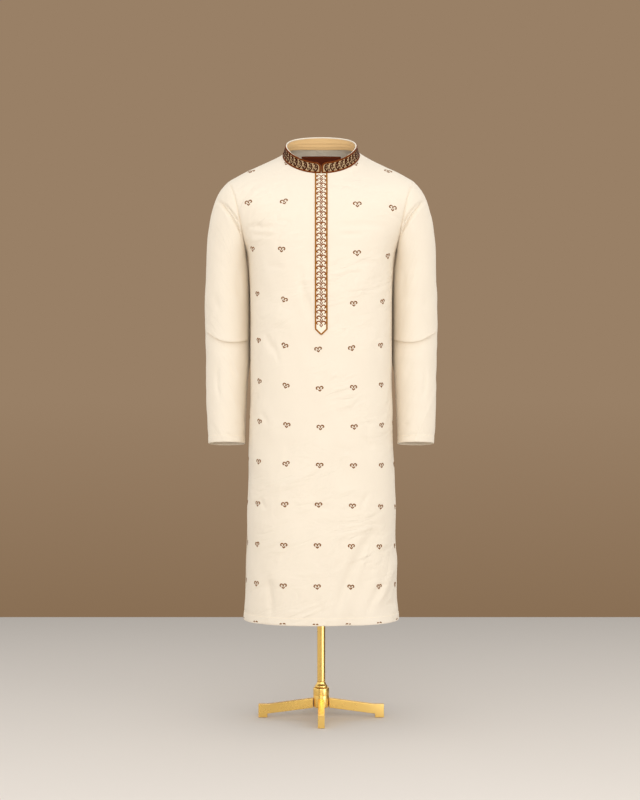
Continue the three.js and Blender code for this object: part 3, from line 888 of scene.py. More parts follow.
    def build_surface(self) -> None:
        """Joins the two halves, presses the folds, eases the seams and adds the relief."""
        half = self.half_grid()
        left = half[:, ::-1] * np.array([-1.0, 1, 1])
        grid = self.press_folds(np.concatenate([left, half], axis=1))
        if self.side is Side.BACK:
            grid = grid[:, ::-1]
        self.seam = grid.copy()
        surface = Surface(grid, level_row=self.upper_rows)
        self.fix_normals(surface)
        surface.points = surface.points + surface.normals * self.relief(surface)[..., None]
        self.ease(surface.points)
        surface.refresh()
        self.fix_normals(surface)
        self.surface = surface

    def fix_normals(self, surface: Surface) -> None:
        """The seams decide the normals of the panel's edges, so that neighbouring walls meet in a mitre.

        Args:
            surface: the panel, whose edges' normals are changed.
        """
        form, grid, normals = self.form, self.seam, surface.normals
        rows = self.upper_rows + 1
        turn = np.pi * np.arange(rows) / self.upper_rows * (1 if self.side is Side.FRONT else -1)
        for col in (0, -1):
            hand = np.sign(grid[rows, col, 0])
            normals[:rows, col] = form.armhole_normal(hand, turn)
            normals[rows:, col] = (hand, 0, 0)
        x = grid[0, :, 0]
        a = np.arcsin(np.clip(x / form.neck_half, -1, 1))
        neck = form.neck_normal(a if self.side is Side.FRONT else np.pi - a)
        ends = normals[0, [0, -1]].copy()
        normals[0] = np.where((np.abs(x) > form.neck_half + 0.5)[:, None], form.ridge_normal(x), neck)
        normals[0, [0, -1]] = ends

    def ease(self, points: Array) -> None:
        """Draws the edges back: a hair at the seams, and more down the vents, along the rows.

        Args:
            points: the panel's points, which are moved.
        """
        below = (self.form.vent_top_z - self.seam[:, 0, 2]) / (self.form.vent_top_z - self.form.hem_z)
        open_by = self.vent_opening * np.clip(below, 0, 1)
        for edge, inward in ((0, 1), (-1, -1)):
            for k in range(self.eased):
                at = edge + inward * k
                way = unit(points[:, at + inward] - points[:, at])
                share = (1 - k / self.eased) ** 2
                points[:, at] += way * ((self.seam_gap if k == 0 else 0) + open_by * share)[:, None]
        points[0] += unit(points[1] - points[0]) * self.seam_gap

    def build(self) -> Object:
        """Returns:
            The panel.
        """
        self.build_surface()
        surface = self.surface
        rows, cols = surface.points.shape[:2]
        keep = np.ones((rows - 1, cols - 1), bool)
        if self.side is Side.FRONT:
            keep[surface.points[:-1, cols // 2, 2] > self.slit_foot_z + 1, cols // 2 - 1] = False
        return make_sheet(f"{self.side.value}_panel", surface, self.thick, self.cloth,
                          keep=keep)


# ---- the sleeves


@dataclass
class Sleeve:
    """A set-in sleeve: a cap that leaves the armhole seam, a tube, the elbow's fold and the cuff."""

    form: BodyForm
    front: Panel
    back: Panel
    hand: int
    cloth: Finish
    thick: float = 1.4
    cap_rows: int = 64
    runs: tuple[tuple[float, float, int], ...] = ((1000, 896, 28), (846, 640, 50), (636, 616, 9))
    elbow_steps: Row = (20, 16, 12, 9, 6.5, 4.6, 3.2, 2, 1, 0.2, -0.6, -1.4, -2.4, -3.6, -5.2, -7.5, -10.5,
                        -14, -18)
    elbow_z: float = 870.0
    elbow_sag: float = 22.0
    elbow_arc: float = 29.7
    arc_middle: float = 0.25
    cuff_turn: float = 16.0
    cuff_swell: float = 0.4
    cuff_dent: float = 0.45
    outward: float = 0.78
    fall: float = 0.62
    leave: float = 0.9
    arrive: float = 0.75
    heights: Row = (616, 672, 730, 785, 836, 858, 866, 890, 945, 1000)
    centres: Row = (211.8, 212.4, 212.6, 211.7, 212.0, 212.2, 212.3, 212.4, 212.2, 211.2)
    depths: Row = (-17, -10, -2, 5, 10, 11, 11, 11, 9, 6)
    halves: Row = (40.8, 43.4, 45.8, 48, 49.2, 49, 49, 49, 48.8, 47.8)
    deeps: Row = (46, 49, 52, 55, 57.5, 58.5, 59, 59.5, 60.5, 62)
    tilts: Row = (0.11, 0.11, 0.11, 0.09, 0.07, 0.05, 0.03, 0.01, 0, 0)
    sags: Row = (0, 0, 0, 0.3, 0.8, 1, 1, 0.8, 0.2, 0)
    fold_at: Row = (-44, -26, -14, -7, -4, -2, -0.6, 0.8, 2, 3.4, 6, 12, 22, 40)
    fold_out: Row = (0, -1.0, -2.8, -4.5, -5.2, -4.6, -2.2, 0.6, 2.0, 2.3, 2.0, 1.2, 0.4, 0)
    fold_up: Row = (0, 0.2, 0.8, 2.0, 3.0, 3.4, 1.8, -1.4, -2.8, -2.9, -1.9, -0.7, -0.1, 0)
    swell: float = 8.0
    swell_turn: float = 1.19
    swell_reach: float = 0.13
    swell_foot: Pair = (768, 806)
    swell_top: Pair = (960, 1006)
    underarm: float = 0.6
    underarm_round: float = 46.0
    groove: Pair = (0.3, 2.4)
    groove_half: float = 1.8
    seam_gap: float = 0.15
    last_step: float = 3.0
    unevenness: Unevenness = Unevenness(0.5, 130.0, 1.1)
    creases: tuple[Crease, ...] = ()
    back_creases: tuple[Crease, ...] = ()
    surface: Surface = field(init=False)

    @property
    def name(self) -> str:
        """Which sleeve it is, as the solids name it."""
        return "sleeve_left" if self.hand > 0 else "sleeve_right"

    def row_heights(self) -> Array:
        """The height that each row of the tube stands for, closest together round the elbow."""
        upper, fore, cuff = (np.linspace(*run) for run in self.runs)
        return np.concatenate([upper, self.elbow_z + np.array(self.elbow_steps), fore, cuff])

    def seam_ring(self) -> Array:
        """The armhole seam: down the front panel's edge, then up the back panel's.

        Returns:
            The seam's points.
        """
        rows = self.front.upper_rows + 1
        front = self.front.seam[:rows, -1 if self.hand > 0 else 0]
        back = self.back.seam[:rows, 0 if self.hand > 0 else -1]
        return np.concatenate([front, back[::-1][1:-1]])

    def rings(self, at: Array, turn: Array) -> Array:
        """Rings of the tube: ellipses that tilt forwards and sag at the elbow, where the upper sleeve
        bulges over the forearm along a line that hangs lowest on the inner side. Behind, the inner side
        swells towards the body.

        Args:
            at: the height that each row stands for.
            turn: the turns round the sleeve, 0 on its outer side and a quarter turn in front.

        Returns:
            Rows × turns × 3 points.
        """
        def read(column: Row) -> Array:
            """One of the tables, at each row's height."""
            return read_table(np.array(self.heights), np.array(column, float), at)[:, None]

        sin, cos = np.sin(turn), np.cos(turn)
        off, middle = cos + self.arc_middle, self.arc_middle
        arc = np.where(off > 0, (off / (1 + middle)) ** 2, middle * (off / (1 - middle)) ** 2)
        plain = self.elbow_sag * (0.5 - 0.5 * np.cos(np.minimum(turn, 2 * np.pi - turn)))
        sag = lerp(0.4 * plain, self.elbow_arc * (1 - arc), smoothstep(sin, -0.5, 0.1))
        in_front = smoothstep(sin, -0.06, 0.5)[None]
        out = np.interp(at - self.elbow_z, self.fold_at, self.fold_out)[:, None] * in_front
        up = np.interp(at - self.elbow_z, self.fold_at, self.fold_up)[:, None] * in_front
        y = -(read(self.deeps) + out) * sin[None]
        swell = self.swell * np.exp(-(((turn / np.pi - self.swell_turn) / self.swell_reach) ** 2))[None]
        foot, top = self.swell_foot, self.swell_top
        swell = swell * (smoothstep(at, *foot) * smoothstep(-at, -top[1], -top[0]))[:, None]
        x = read(self.centres) + (read(self.halves) + 0.45 * out) * cos[None] - swell
        tall = at[:, None] + up - y * read(self.tilts) - read(self.sags) * sag[None]
        return np.stack([self.hand * x, read(self.depths) + y, tall], -1)

    def build_surface(self) -> None:
        """Lofts the cap from the seam to the tube's first ring, then adds creases, slack and the cuff."""
        seam = self.seam_ring()
        turn = 2 * np.pi * np.arange(len(seam)) / len(seam)
        tube = self.rings(self.row_heights(), turn)
        outward = (0.5 + 0.5 * np.cos(turn))[:, None]
        chord = np.linalg.norm(tube[0] - seam, axis=1, keepdims=True)
        fall = -lerp(1, self.fall, outward)
        leave = np.concatenate([self.hand * self.outward * outward, 0 * outward, fall], 1) * self.leave
        arrive = np.array([0, 0, -1.0]) * self.arrive * chord
        t = (np.arange(self.cap_rows) / self.cap_rows)[:, None, None]
        cap = hermite(seam[None], (leave * chord)[None], tube[:1], arrive[None], t)
        grid = np.concatenate([cap, tube])
        if self.hand > 0:
            grid, turn = grid[:, ::-1], turn[::-1]
        surface = Surface(grid, closed=True)
        self.fix_normals(surface, turn)
        surface.points = surface.points + surface.normals * self.relief(surface, turn)[..., None]
        surface.points[0] += unit(surface.points[1] - surface.points[0]) * self.seam_gap
        surface.refresh()
        self.fix_normals(surface, turn)
        self.surface = surface

    def fix_normals(self, surface: Surface, turn: Array) -> None:
        """The seam's mitre decides the first row's normals."""
        surface.normals[0] = self.form.armhole_normal(self.hand, turn)

    def relief(self, surface: Surface, turn: Array) -> Array:
        """Creases of the front and back halves, slack, the underarm seam and the turned-up cuff, and the
        armhole's groove.

        Args:
            surface: the sleeve before its relief.
            turn: the turn round the sleeve of each column.

        Returns:
            The move outwards.
        """
        x, z = np.abs(surface.points[..., 0]), surface.points[..., 2]
        ahead = smoothstep(np.sin(turn), 0.0, 0.35)[None]
        behind = smoothstep(-np.sin(turn), 0.0, 0.35)[None]
        slack = self.unevenness.at(x + 300 * self.hand, z + surface.points[..., 1])
        slack = slack + ahead * sum(c.height(x, z) for c in self.creases)
        slack = slack + behind * sum(c.height(x, z) for c in self.back_creases)
        clear = 0.25 + 0.75 * smoothstep(np.cos(turn), -0.95, -0.55)[None]
        below = surface.up[:1] - surface.up
        cuff = turned_edge(surface.up - surface.up[-1:], self.cuff_turn, self.cuff_swell, self.cuff_dent)
        seam = self.underarm * np.exp(-((np.abs(turn - np.pi) * self.underarm_round / 2.2) ** 2))[None]
        armhole = lerp(*self.groove, self.form.below_tip(z)) * np.exp(-((below / self.groove_half) ** 2))
        return slack * clear * smoothstep(below, 0, 9) + cuff - seam - armhole

    def build(self) -> Object:
        """Makes the sleeve's shell, all round.

        Returns:
            The sleeve.
        """
        self.build_surface()
        return make_sheet(self.name, self.surface, self.thick, self.cloth)


# ---- the collar


@dataclass(frozen=True)
class Wrinkle:
    """A wrinkle of the inner band: how high it runs, its line's wave, and its width and share of depth."""

    high: float
    wave: float
    length: float
    turn: float
    width: float
    share: float

    def at(self, arc: Array, up: Array) -> Array:
        """Its depth at places along and up the band: share·exp(−o²), o being the widths off its line."""
        off = up - self.high - self.wave * np.sin(arc / self.length + self.turn)
        return self.share * np.exp(-((off / self.width) ** 2))


@dataclass
class Collar:
    """The stand collar: an outer band, an inner band that stands a little higher, and corded piping."""

    form: BodyForm
    cloth: Finish
    facing: Finish
    trim: Finish
    edging: Finish
    top: Ring = Ring(79.5, 61.0, 1.0, 1285.2, 34.3, 9.9, 2.3)
    corner: float = 12.0
    end_gap: float = 0.9
    lip: float = 0.6
    edge_width: float = 3.3
    edge_height: float = 2.2
    gap: float = 0.3
    band: float = 1.2
    cord_width: float = 3.7
    cord_height: float = 1.3
    cord_inset: float = 1.75
    band_rows: int = 15
    band_steps: tuple[int, int] = (15, 190)
    edge_steps: tuple[int, int] = (9, 220)
    cord_steps: tuple[int, int] = (12, 200)
    side_points: int = 6
    foot_points: int = 210
    wrinkle_depth: float = 0.8
    wrinkles: tuple[Wrinkle, ...] = (Wrinkle(8.5, 1.2, 55, 0, 1.5, 1.0), Wrinkle(14.5, 1.5, 38, 1, 1.9, 0.8))

    def frame(self, angle: Array) -> tuple[Array, Array, Array]:
        """How the band stands at an angle from the front.

        Args:
            angle: the angles.

        Returns:
            The foot on the neckline, the unit way up the band, and the band's full height.
        """
        foot, head = self.form.neckline.at(angle), self.top.at(angle)
        rise = head - foot
        tall = np.linalg.norm(rise, axis=-1)
        return foot + self.gap * rise / tall[..., None], rise / tall[..., None], tall - self.gap

    def place(self, angle: Array, up: Array, lift: Array | float) -> Array:
        """A point of the band's face: the foot, moved up the band, and out along its normal, which is
        the way along the band crossed with the way up.

        Args:
            angle: angles from the front.
            up: heights over the foot, in millimetres.
            lift: how far out of the face.

        Returns:
            The points.
        """
        def at(a: Array) -> Array:
            """The face's point with no lift."""
            foot, way, _ = self.frame(a)
            return foot + way * up[..., None]

        along = at(angle + 1e-3) - at(angle - 1e-3)
        out = unit(np.cross(along, self.frame(angle)[1]))
        return at(angle) + out * np.asarray(lift, float)[..., None]

    def out(self, angle: Array, up: Array) -> Array:
        """The way that the band's face looks at a place."""
        return unit(self.place(angle, up, 1.0) - self.place(angle, up, 0.0))

    def arc_table(self) -> tuple[Array, Array]:
        """The distance along the band's middle, from the front.

        Returns:
            Angles all round, and the distance to each.
        """
        a = np.linspace(0, 2 * np.pi, 721)
        foot, way, tall = self.frame(a)
        p = foot + way * tall[:, None] / 2
        return a, np.concatenate([[0.0], np.cumsum(np.linalg.norm(np.diff(p, axis=0), axis=1))])

    def first_angle(self) -> float:
        """The angle of the band's front end."""
        return math.asin(self.end_gap / self.form.neck_half)

    def from_end(self, angle: Array) -> Array:
        """The distance from the nearer front end, over the neckline."""
        return self.form.neck_half * np.minimum(angle, 2 * np.pi - angle) - self.end_gap

    def corner_cut(self, end: Array) -> Array:
        """What a rounded corner takes off the height at a distance e from the end: r − √(r² − (r − e)²)."""
        r = self.corner
        return np.where(end < r, r - np.sqrt(np.clip(r * r - (r - end) ** 2, 0, None)), 0)

    def all_round(self, near: Array, count: int) -> Array:
        """Angles all round the band: over one front corner, on at even steps, and over the other corner.

        Args:
            near: distances from the end over a corner, the last at its inner side.
            count: how many angles there are from corner to corner.

        Returns:
            The angles.
        """
        corner = self.first_angle() + near / self.form.neck_half
        between = np.linspace(corner[-1], 2 * np.pi - corner[-1], count)[1:-1]
        return np.concatenate([corner, between, 2 * np.pi - corner[::-1]])

    def grid(self, lip: float, off: float) -> Surface:
        """A band: columns crowd at its rounded front corners, which a quarter circle cuts from its height.
        The inner band has wrinkles behind, which press it in.

        Args:
            lip: how much higher than the outer band it stands.
            off: how far out of the outer band's face it lies.

        Returns:
            The band's surface.
        """
        bends, between = self.band_steps
        angle = self.all_round(self.corner * (1 - np.cos(np.linspace(0, np.pi / 2, bends))), between)
        top = self.frame(angle)[2] - self.corner_cut(self.from_end(angle)) + lip
        up = np.linspace(1, 0, self.band_rows)[:, None] * top[None]
        if off < 0:
            arc = self.form.neck_half * angle[None]
            deep = sum(wrinkle.at(arc, up) for wrinkle in self.wrinkles)
            off = off - self.wrinkle_depth * smoothstep(-np.cos(angle), -0.2, 0.7)[None] * deep
        return Surface(self.place(np.broadcast_to(angle, up.shape), up, off))

    def build(self) -> list[Object]:
        """Makes the two bands, the piping and the rolled edge.

        Returns:
            The pieces.
        """
        under, sewn_to = -(self.band + self.gap), ["front_panel", "back_panel"]
        return [
            make_sheet("collar_outer_band", self.grid(0.0, 0.0), self.band, self.cloth),
            make_sheet("collar_inner_band", self.grid(self.lip, under), self.band, self.facing,
                       slot=Slot.TAN),
            self.build_piping(),
            self.build_edge(),
        ]

    def build_edge(self) -> Object:
        """The outer cloth's rolled edge lies over the tops of both bands and thins out at the front.

        Returns:
            The edge.
        """
        bends, between = self.edge_steps
        angle = self.all_round(self.corner * (1 - np.cos(np.linspace(0.55, np.pi / 2, bends))), between)
        tall = self.frame(angle)[2] - self.corner_cut(self.from_end(angle))
        middle = -(self.band + self.gap / 2)
        path = self.place(angle, tall - 0.6, middle)
        up = unit(self.place(angle, tall + 1, middle) - self.place(angle, tall, middle))
        ends = np.minimum(np.arange(len(angle)), np.arange(len(angle))[::-1])
        side = np.minimum(angle, 2 * np.pi - angle)
        size = (smoothstep(ends, -1, 7) * lerp(0.45, 1.0, smoothstep(side, 0.5, 1.3)))[None]
        roll = raised_lines(path[None], up[None], self.edge_width * size, self.edge_height * size, sides=9)
        return make_piece("collar_rolled_edge", *roll, self.edging, Slot.CREAM, 80)

    def build_piping(self) -> Object:
        """The cord runs round the whole edge of the outer band, parallel to it, corners and all.

        Returns:
            The cord.
        """
        inset, sides, (bends, between) = self.cord_inset, self.side_points, self.cord_steps
        turn = np.linspace(0, np.pi / 2, bends)
        bend = self.corner - inset
        top = self.all_round(self.corner - bend * np.cos(turn), between)
        high = self.frame(top)[2] - inset
        high[:bends] += inset - self.corner + bend * np.sin(turn)
        high[-bends:] = high[:bends][::-1]
        side = np.linspace(inset + 1.0, high[0], sides + 1)[:-1]
        foot = self.first_angle() + (inset + 0.8) / self.form.neck_half
        a = np.concatenate([np.full(sides, top[0]), top, np.full(sides, top[-1]),
                            np.linspace(2 * np.pi - foot, foot, self.foot_points)])
        up = np.concatenate([side, high, side[::-1], np.full(self.foot_points, inset)])
        path, out = self.place(a, up, self.gap), self.out(a, up)
        cord = raised_lines(path[None], out[None], self.cord_width, self.cord_height, True, 10)
        return make_piece("collar_piping_cord", *cord, self.trim, Slot.BROWN, 75, "collar_piping")


def raised_lines(lines: Array, out: Array, width: Array | float, height: Array | float, closed: bool = False,
                 sides: int = 5) -> Mesh:
    """Threads or cords laid on a face: a domed section with a flat foot, carried along each line. The
    section is (cos a · width / 2, sin a ^ 0.8 · height), with a from 0 to half a turn.

    Args:
        lines: the lines' points, lines × points × 3.
        out: the face's normal at each point.
        width: how wide the foot is, at each point or everywhere.
        height: how far it stands out, likewise.
        closed: whether each line's ends meet.
        sides: how many points the section has.

    Returns:
        The points, the faces and each point's place along and across its thread.
    """
    number, count = lines.shape[:2]
    ahead = np.roll(lines, -1, 1) - np.roll(lines, 1, 1) if closed else np.gradient(lines, axis=1)
    across = unit(np.cross(ahead, out))
    wide, tall = (np.broadcast_to(size, (number, count))[..., None] for size in (width, height))
    a = np.linspace(0, np.pi, sides)
    ring = lines[:, :, None] + across[:, :, None] * (np.cos(a) * wide / 2)[..., None]
    ring = ring + out[:, :, None] * (np.sin(a).clip(0, 1) ** 0.8 * tall)[..., None]
    n, i, j = np.meshgrid(np.arange(number), np.arange(count if closed else count - 1), np.arange(sides),
                          indexing="ij")
    here, there = (n * count + i) * sides, (n * count + (i + 1) % count) * sides
    after = (j + 1) % sides
    faces = [np.stack([here + j, there + j, there + after, here + after], -1).reshape(-1, 4)]
    if not closed:
        first = (np.arange(number) * count * sides)[:, None] + np.arange(sides)[None]
        faces += [first, first[:, ::-1] + (count - 1) * sides]
    run = np.cumsum(np.linalg.norm(np.diff(lines, axis=1, prepend=lines[:, :1]), axis=2), axis=1)
    uv = np.stack(np.broadcast_arrays(run[..., None], a / np.pi * wide), -1)
    return ring.reshape(-1, 3), faces, uv.reshape(-1, 2)


def join(parts: list[Mesh]) -> Mesh:
    """Several meshes made one, each one's faces counted on from the points before it.

    Args:
        parts: the meshes.

    Returns:
        The whole.
    """
    starts = np.concatenate([[0], np.cumsum([len(points) for points, _, _ in parts])])
    faces = [block + start for (_, blocks, _), start in zip(parts, starts) for block in blocks]
    return np.concatenate([p for p, _, _ in parts]), faces, np.concatenate([uv for _, _, uv in parts])


# ---- stitches and embroidery


@dataclass
class Stitching:
    """Runs of small machine stitches, each a short low bead."""

    thread: Finish
    pitch: float = 3.2
    long: float = 2.1
    width: float = 0.62
    height: float = 0.34
    sunk: float = 0.02
    stations: Row = (-1, -0.55, 0.55, 1)
    swelling: Row = (0.5, 1, 1, 0.5)

    def run(self, surface: Surface, rows: Array, cols: Array) -> Mesh:
        """Stitches at an even pitch along a path over a surface.

        Args:
            surface: the cloth.
            rows: the path's rows.
            cols: the path's columns.

        Returns:
            The stitches' mesh.
        """
        length = np.linalg.norm(np.diff(surface.sample(rows, cols), axis=0), axis=1)
        run = np.concatenate([[0.0], np.cumsum(length)])
        centres = np.arange(self.pitch, run[-1] - self.pitch / 2, self.pitch)
        at = centres[:, None] + self.long / 2 * np.array(self.stations)[None]
        r, c = np.interp(at, run, rows), np.interp(at, run, cols)
        size, beads = np.array(self.swelling)[None], surface.sample(r, c, -self.sunk)
        return raised_lines(beads, surface.facing(r, c), self.width * size, self.height * size, sides=4)

    def build(self, name: str, runs: list[Mesh]) -> Object:
        """One piece of several runs."""
        return make_piece(name, *join(runs), self.thread, Slot.CREAM, 80)


@dataclass(frozen=True)
class Stroke:
    """One stroke of a motif: a smooth line through points given from the motif's centre."""

    points: tuple[Pair, ...]
    width: float = 1.2
    mirror: bool = True


def strokes_as_arrays(strokes: tuple[Stroke, ...], count: int, end: float = 0.12,
                      power: float = 0.35) -> tuple[Array, Array]:
    """All strokes and their mirror images as lines of the same number of points, and their widths.

    Args:
        strokes: the strokes.
        count: the points of each line.
        end: how far into the taper's half turn a line starts.
        power: the power of the sine that tapers a line to its ends.

    Returns:
        The lines, strokes × points × 2, and the widths.
    """
    lines = [smooth_line(np.array(s.points, float), count) for s in strokes]
    lines += [line * np.array([-1.0, 1.0]) for line, s in zip(lines, strokes) if s.mirror]
    wide = [s.width for s in strokes] + [s.width for s in strokes if s.mirror]
    taper = np.sin(np.linspace(end, np.pi - end, count)) ** power
    return np.stack(lines), np.array(wide)[:, None] * taper[None]


@dataclass
class Buti:
    """The small two-petalled sprig that the cloth is scattered with, in rows and columns."""

    thread: Finish
    height: float = 0.5
    points: int = 11
    least: int = 4
    strokes: tuple[Stroke, ...] = (
        Stroke(((0.5, 1.9), (2.6, 4.0), (5.4, 4.2), (7.7, 2.3), (8.1, -0.3), (6.5, -1.5), (4.9, -0.3)), 2.8),
        Stroke(((3.3, -2.7), (2.2, -4.4), (0.7, -5.3)), 3.0),
        Stroke(((-1.7, -0.4), (0.0, 0.0), (1.7, -0.4)), 3.4, False),
        Stroke(((-1.2, -5.8), (0.0, -6.3), (1.2, -5.8)), 2.8, False),
    )

    def sprigs(self, surface: Surface, across: Array, z: Array, lean: Array,
               size: Array) -> tuple[Array, Array, Array]:
        """Lays the sprig's lines on the cloth: each is drawn on the plane that touches it, then dropped
        to the nearest place on it. A line that runs past the cloth's edge is cut back to what is on it.

        Args:
            surface: the cloth.
            across: the sprigs' distances over the cloth from its middle, growing towards +X.
            z: their heights.
            lean: how far each is turned, in radians.
            size: the size of each.

        Returns:
            The lines, their normals and their widths.
        """
        pts, count = surface.points, self.points
        row, col = surface.locate(surface.across * np.sign(pts[-1, -1, 0]), pts[..., 2], across, z)
        centre, out = surface.sample(row, col), surface.facing(row, col)
        right = unit(np.cross(np.array([0, 0, 1.0]), out))
        centre, right, up = (v[:, None, None] for v in (centre, right, np.cross(out, right)))
        lines, wide = strokes_as_arrays(self.strokes, count)
        x, y = lines[None, ..., 0], lines[None, ..., 1]
        row, col, lean, size = (v[:, None, None] for v in (row, col, lean, size))
        u = (x * np.cos(lean) - y * np.sin(lean)) * size
        v = (x * np.sin(lean) + y * np.cos(lean)) * size
        aim = centre + u[..., None] * right + v[..., None] * up
        r, c = surface.project(aim, *(np.broadcast_to(start, u.shape).copy() for start in (row, col)))
        rows, cols = pts.shape[:2]
        on = (r > 0.7) & (r < rows - 1.7) & (c > 0.8) & (c < cols - 1.8)
        wide = np.broadcast_to(wide[None], u.shape)
        r, c, on, wide = (grid.reshape(-1, count) for grid in (r, c, on, wide))
        keep = on.sum(axis=1) >= self.least
        r, c, on, wide = r[keep], c[keep], on[keep], wide[keep]
        first = on.argmax(axis=1)
        last = count - 1 - on[:, ::-1].argmax(axis=1)
        at = first[:, None] + (last - first)[:, None] * np.linspace(0, 1, count)[None]
        lower = np.minimum(at.astype(int), count - 2)

        def pick(grid: Array) -> Array:
            """A line's values read between its points."""
            low, high = np.take_along_axis(grid, lower, 1), np.take_along_axis(grid, lower + 1, 1)
            return low * (1 - at + lower) + high * (at - lower)

        r, c = pick(r), pick(c)
        return surface.sample(r, c, SUNK), surface.facing(r, c), wide

    def build(self, name: str, surface: Surface, spots: Array) -> Object:
        """One piece of all the sprigs of a panel.

        Args:
            name: the piece's name.
            surface: the cloth.
            spots: distance across, height, lean and size of each sprig, one a row.

        Returns:
            The piece.
        """
        lines, out, wide = self.sprigs(surface, *spots.T)
        points, faces, uv = raised_lines(lines, out, wide, self.height * np.clip(wide / 1.3, 0.6, 1.1))
        return make_piece(name, points, faces, uv, self.thread, Slot.BROWN, 80)


@dataclass(frozen=True)
class ButiRow:
    """A row of sprigs: its height, where its middle lies, its pitch over the cloth, how much the outer
    ones ride up, how much each step to the right sinks, how each of the five leans, in degrees, and how
    far the two outer columns stand to the right of their even places."""

    z: float
    middle: float
    pitch: float
    rise: float
    sink: float
    leans: Row
    outer: Pair = (0.0, 0.0)


@dataclass(frozen=True)
class ButiGrid:
    """Where the sprigs stand: twelve rows, wider apart over the chest, none where the placket lies."""

    rows: tuple[ButiRow, ...] = (
        ButiRow(1257, -0.5, 100.5, -33.5, 0.0, (12, 10, 0, -10, -22), (11.5, -20.8)),
        ButiRow(1147, -1.7, 82.6, -5.5, 3.0, (14, 22, 0, -2, -15), (-3.5, 2.5)),
        ButiRow(1037.5, -4.4, 83.1, 1.5, 4.0, (-8, -4, 0, 2, 12), (0.0, 3.0)),
        ButiRow(922, -5.5, 77.0, 17.0, 4.4, (-6, -24, 0, 2, 14), (0.0, 0.8)),
        ButiRow(823.7, -6.8, 73.5, 15.5, 2.8, (-8, -24, 6, 16, 10), (1.8, 1.3)),
        ButiRow(738.2, -3.4, 74.5, 12.5, 2.0, (-18, -20, 4, -3, 4), (2.8, -2.0)),
        ButiRow(654.2, -1.8, 74.0, 8.0, 2.0, (-14, -12, 0, 5, 12), (2.8, -1.9)),
        ButiRow(571.7, -3.4, 74.0, 2.5, 2.0, (-4, 10, -3, 3, 8), (1.8, -3.5)),
        ButiRow(486, -5.9, 74.0, -3.0, 1.5, (-4, 3, 2, 0, -3), (0.0, -4.0)),
        ButiRow(398, -8.3, 74.0, -3.0, 1.0, (6, -3, 0, 4, 2), (-0.8, -4.2)),
        ButiRow(309.5, -8.8, 74.5, -0.5, 1.2, (-3, 0, 3, -2, 3), (-0.6, -6.7)),
        ButiRow(219.5, -12.5, 73.0, -2.0, -1.0, (0, 4, 0, -3, 6)),
    )
    placket_foot: float = 840.0
    neck_foot: float = 1200.0
    wide_under: float = 700.0
    wobble: Pair = (12.9, 7.3)
    wobble_lean: float = 3.0
    wobble_size: float = 0.04
    least: float = 0.85
    whole_over: Pair = (900.0, 1150.0)

    def spots(self, side: Side) -> Array:
        """Distance across, height, lean and size of each sprig; an outer one rides up as |k / 2|^1.5.

        Args:
            side: the front leaves the middle free for the placket.

        Returns:
            One row a sprig.
        """
        found = []
        middle_under = self.placket_foot if side is Side.FRONT else self.neck_foot
        for n, row in enumerate(self.rows):
            for k in range(-3, 4):
                if (k == 0 and row.z > middle_under) or (abs(k) == 3 and row.z > self.wide_under):
                    continue
                z = row.z + row.rise * (abs(k) / 2) ** 1.5 - row.sink * k
                across = row.middle + k * row.pitch + (row.outer[int(k > 0)] if abs(k) > 1 else 0.0)
                wobble = math.sin(self.wobble[0] * n + self.wobble[1] * k)
                lean = row.leans[max(0, min(4, k + 2))] + self.wobble_lean * wobble
                size = lerp(self.least, 1.0, smoothstep(row.z, *self.whole_over)) + self.wobble_size * wobble
                found.append((across, z, math.radians(lean), size))
        return np.array(found)


# ---- placket, collar scrolls and label


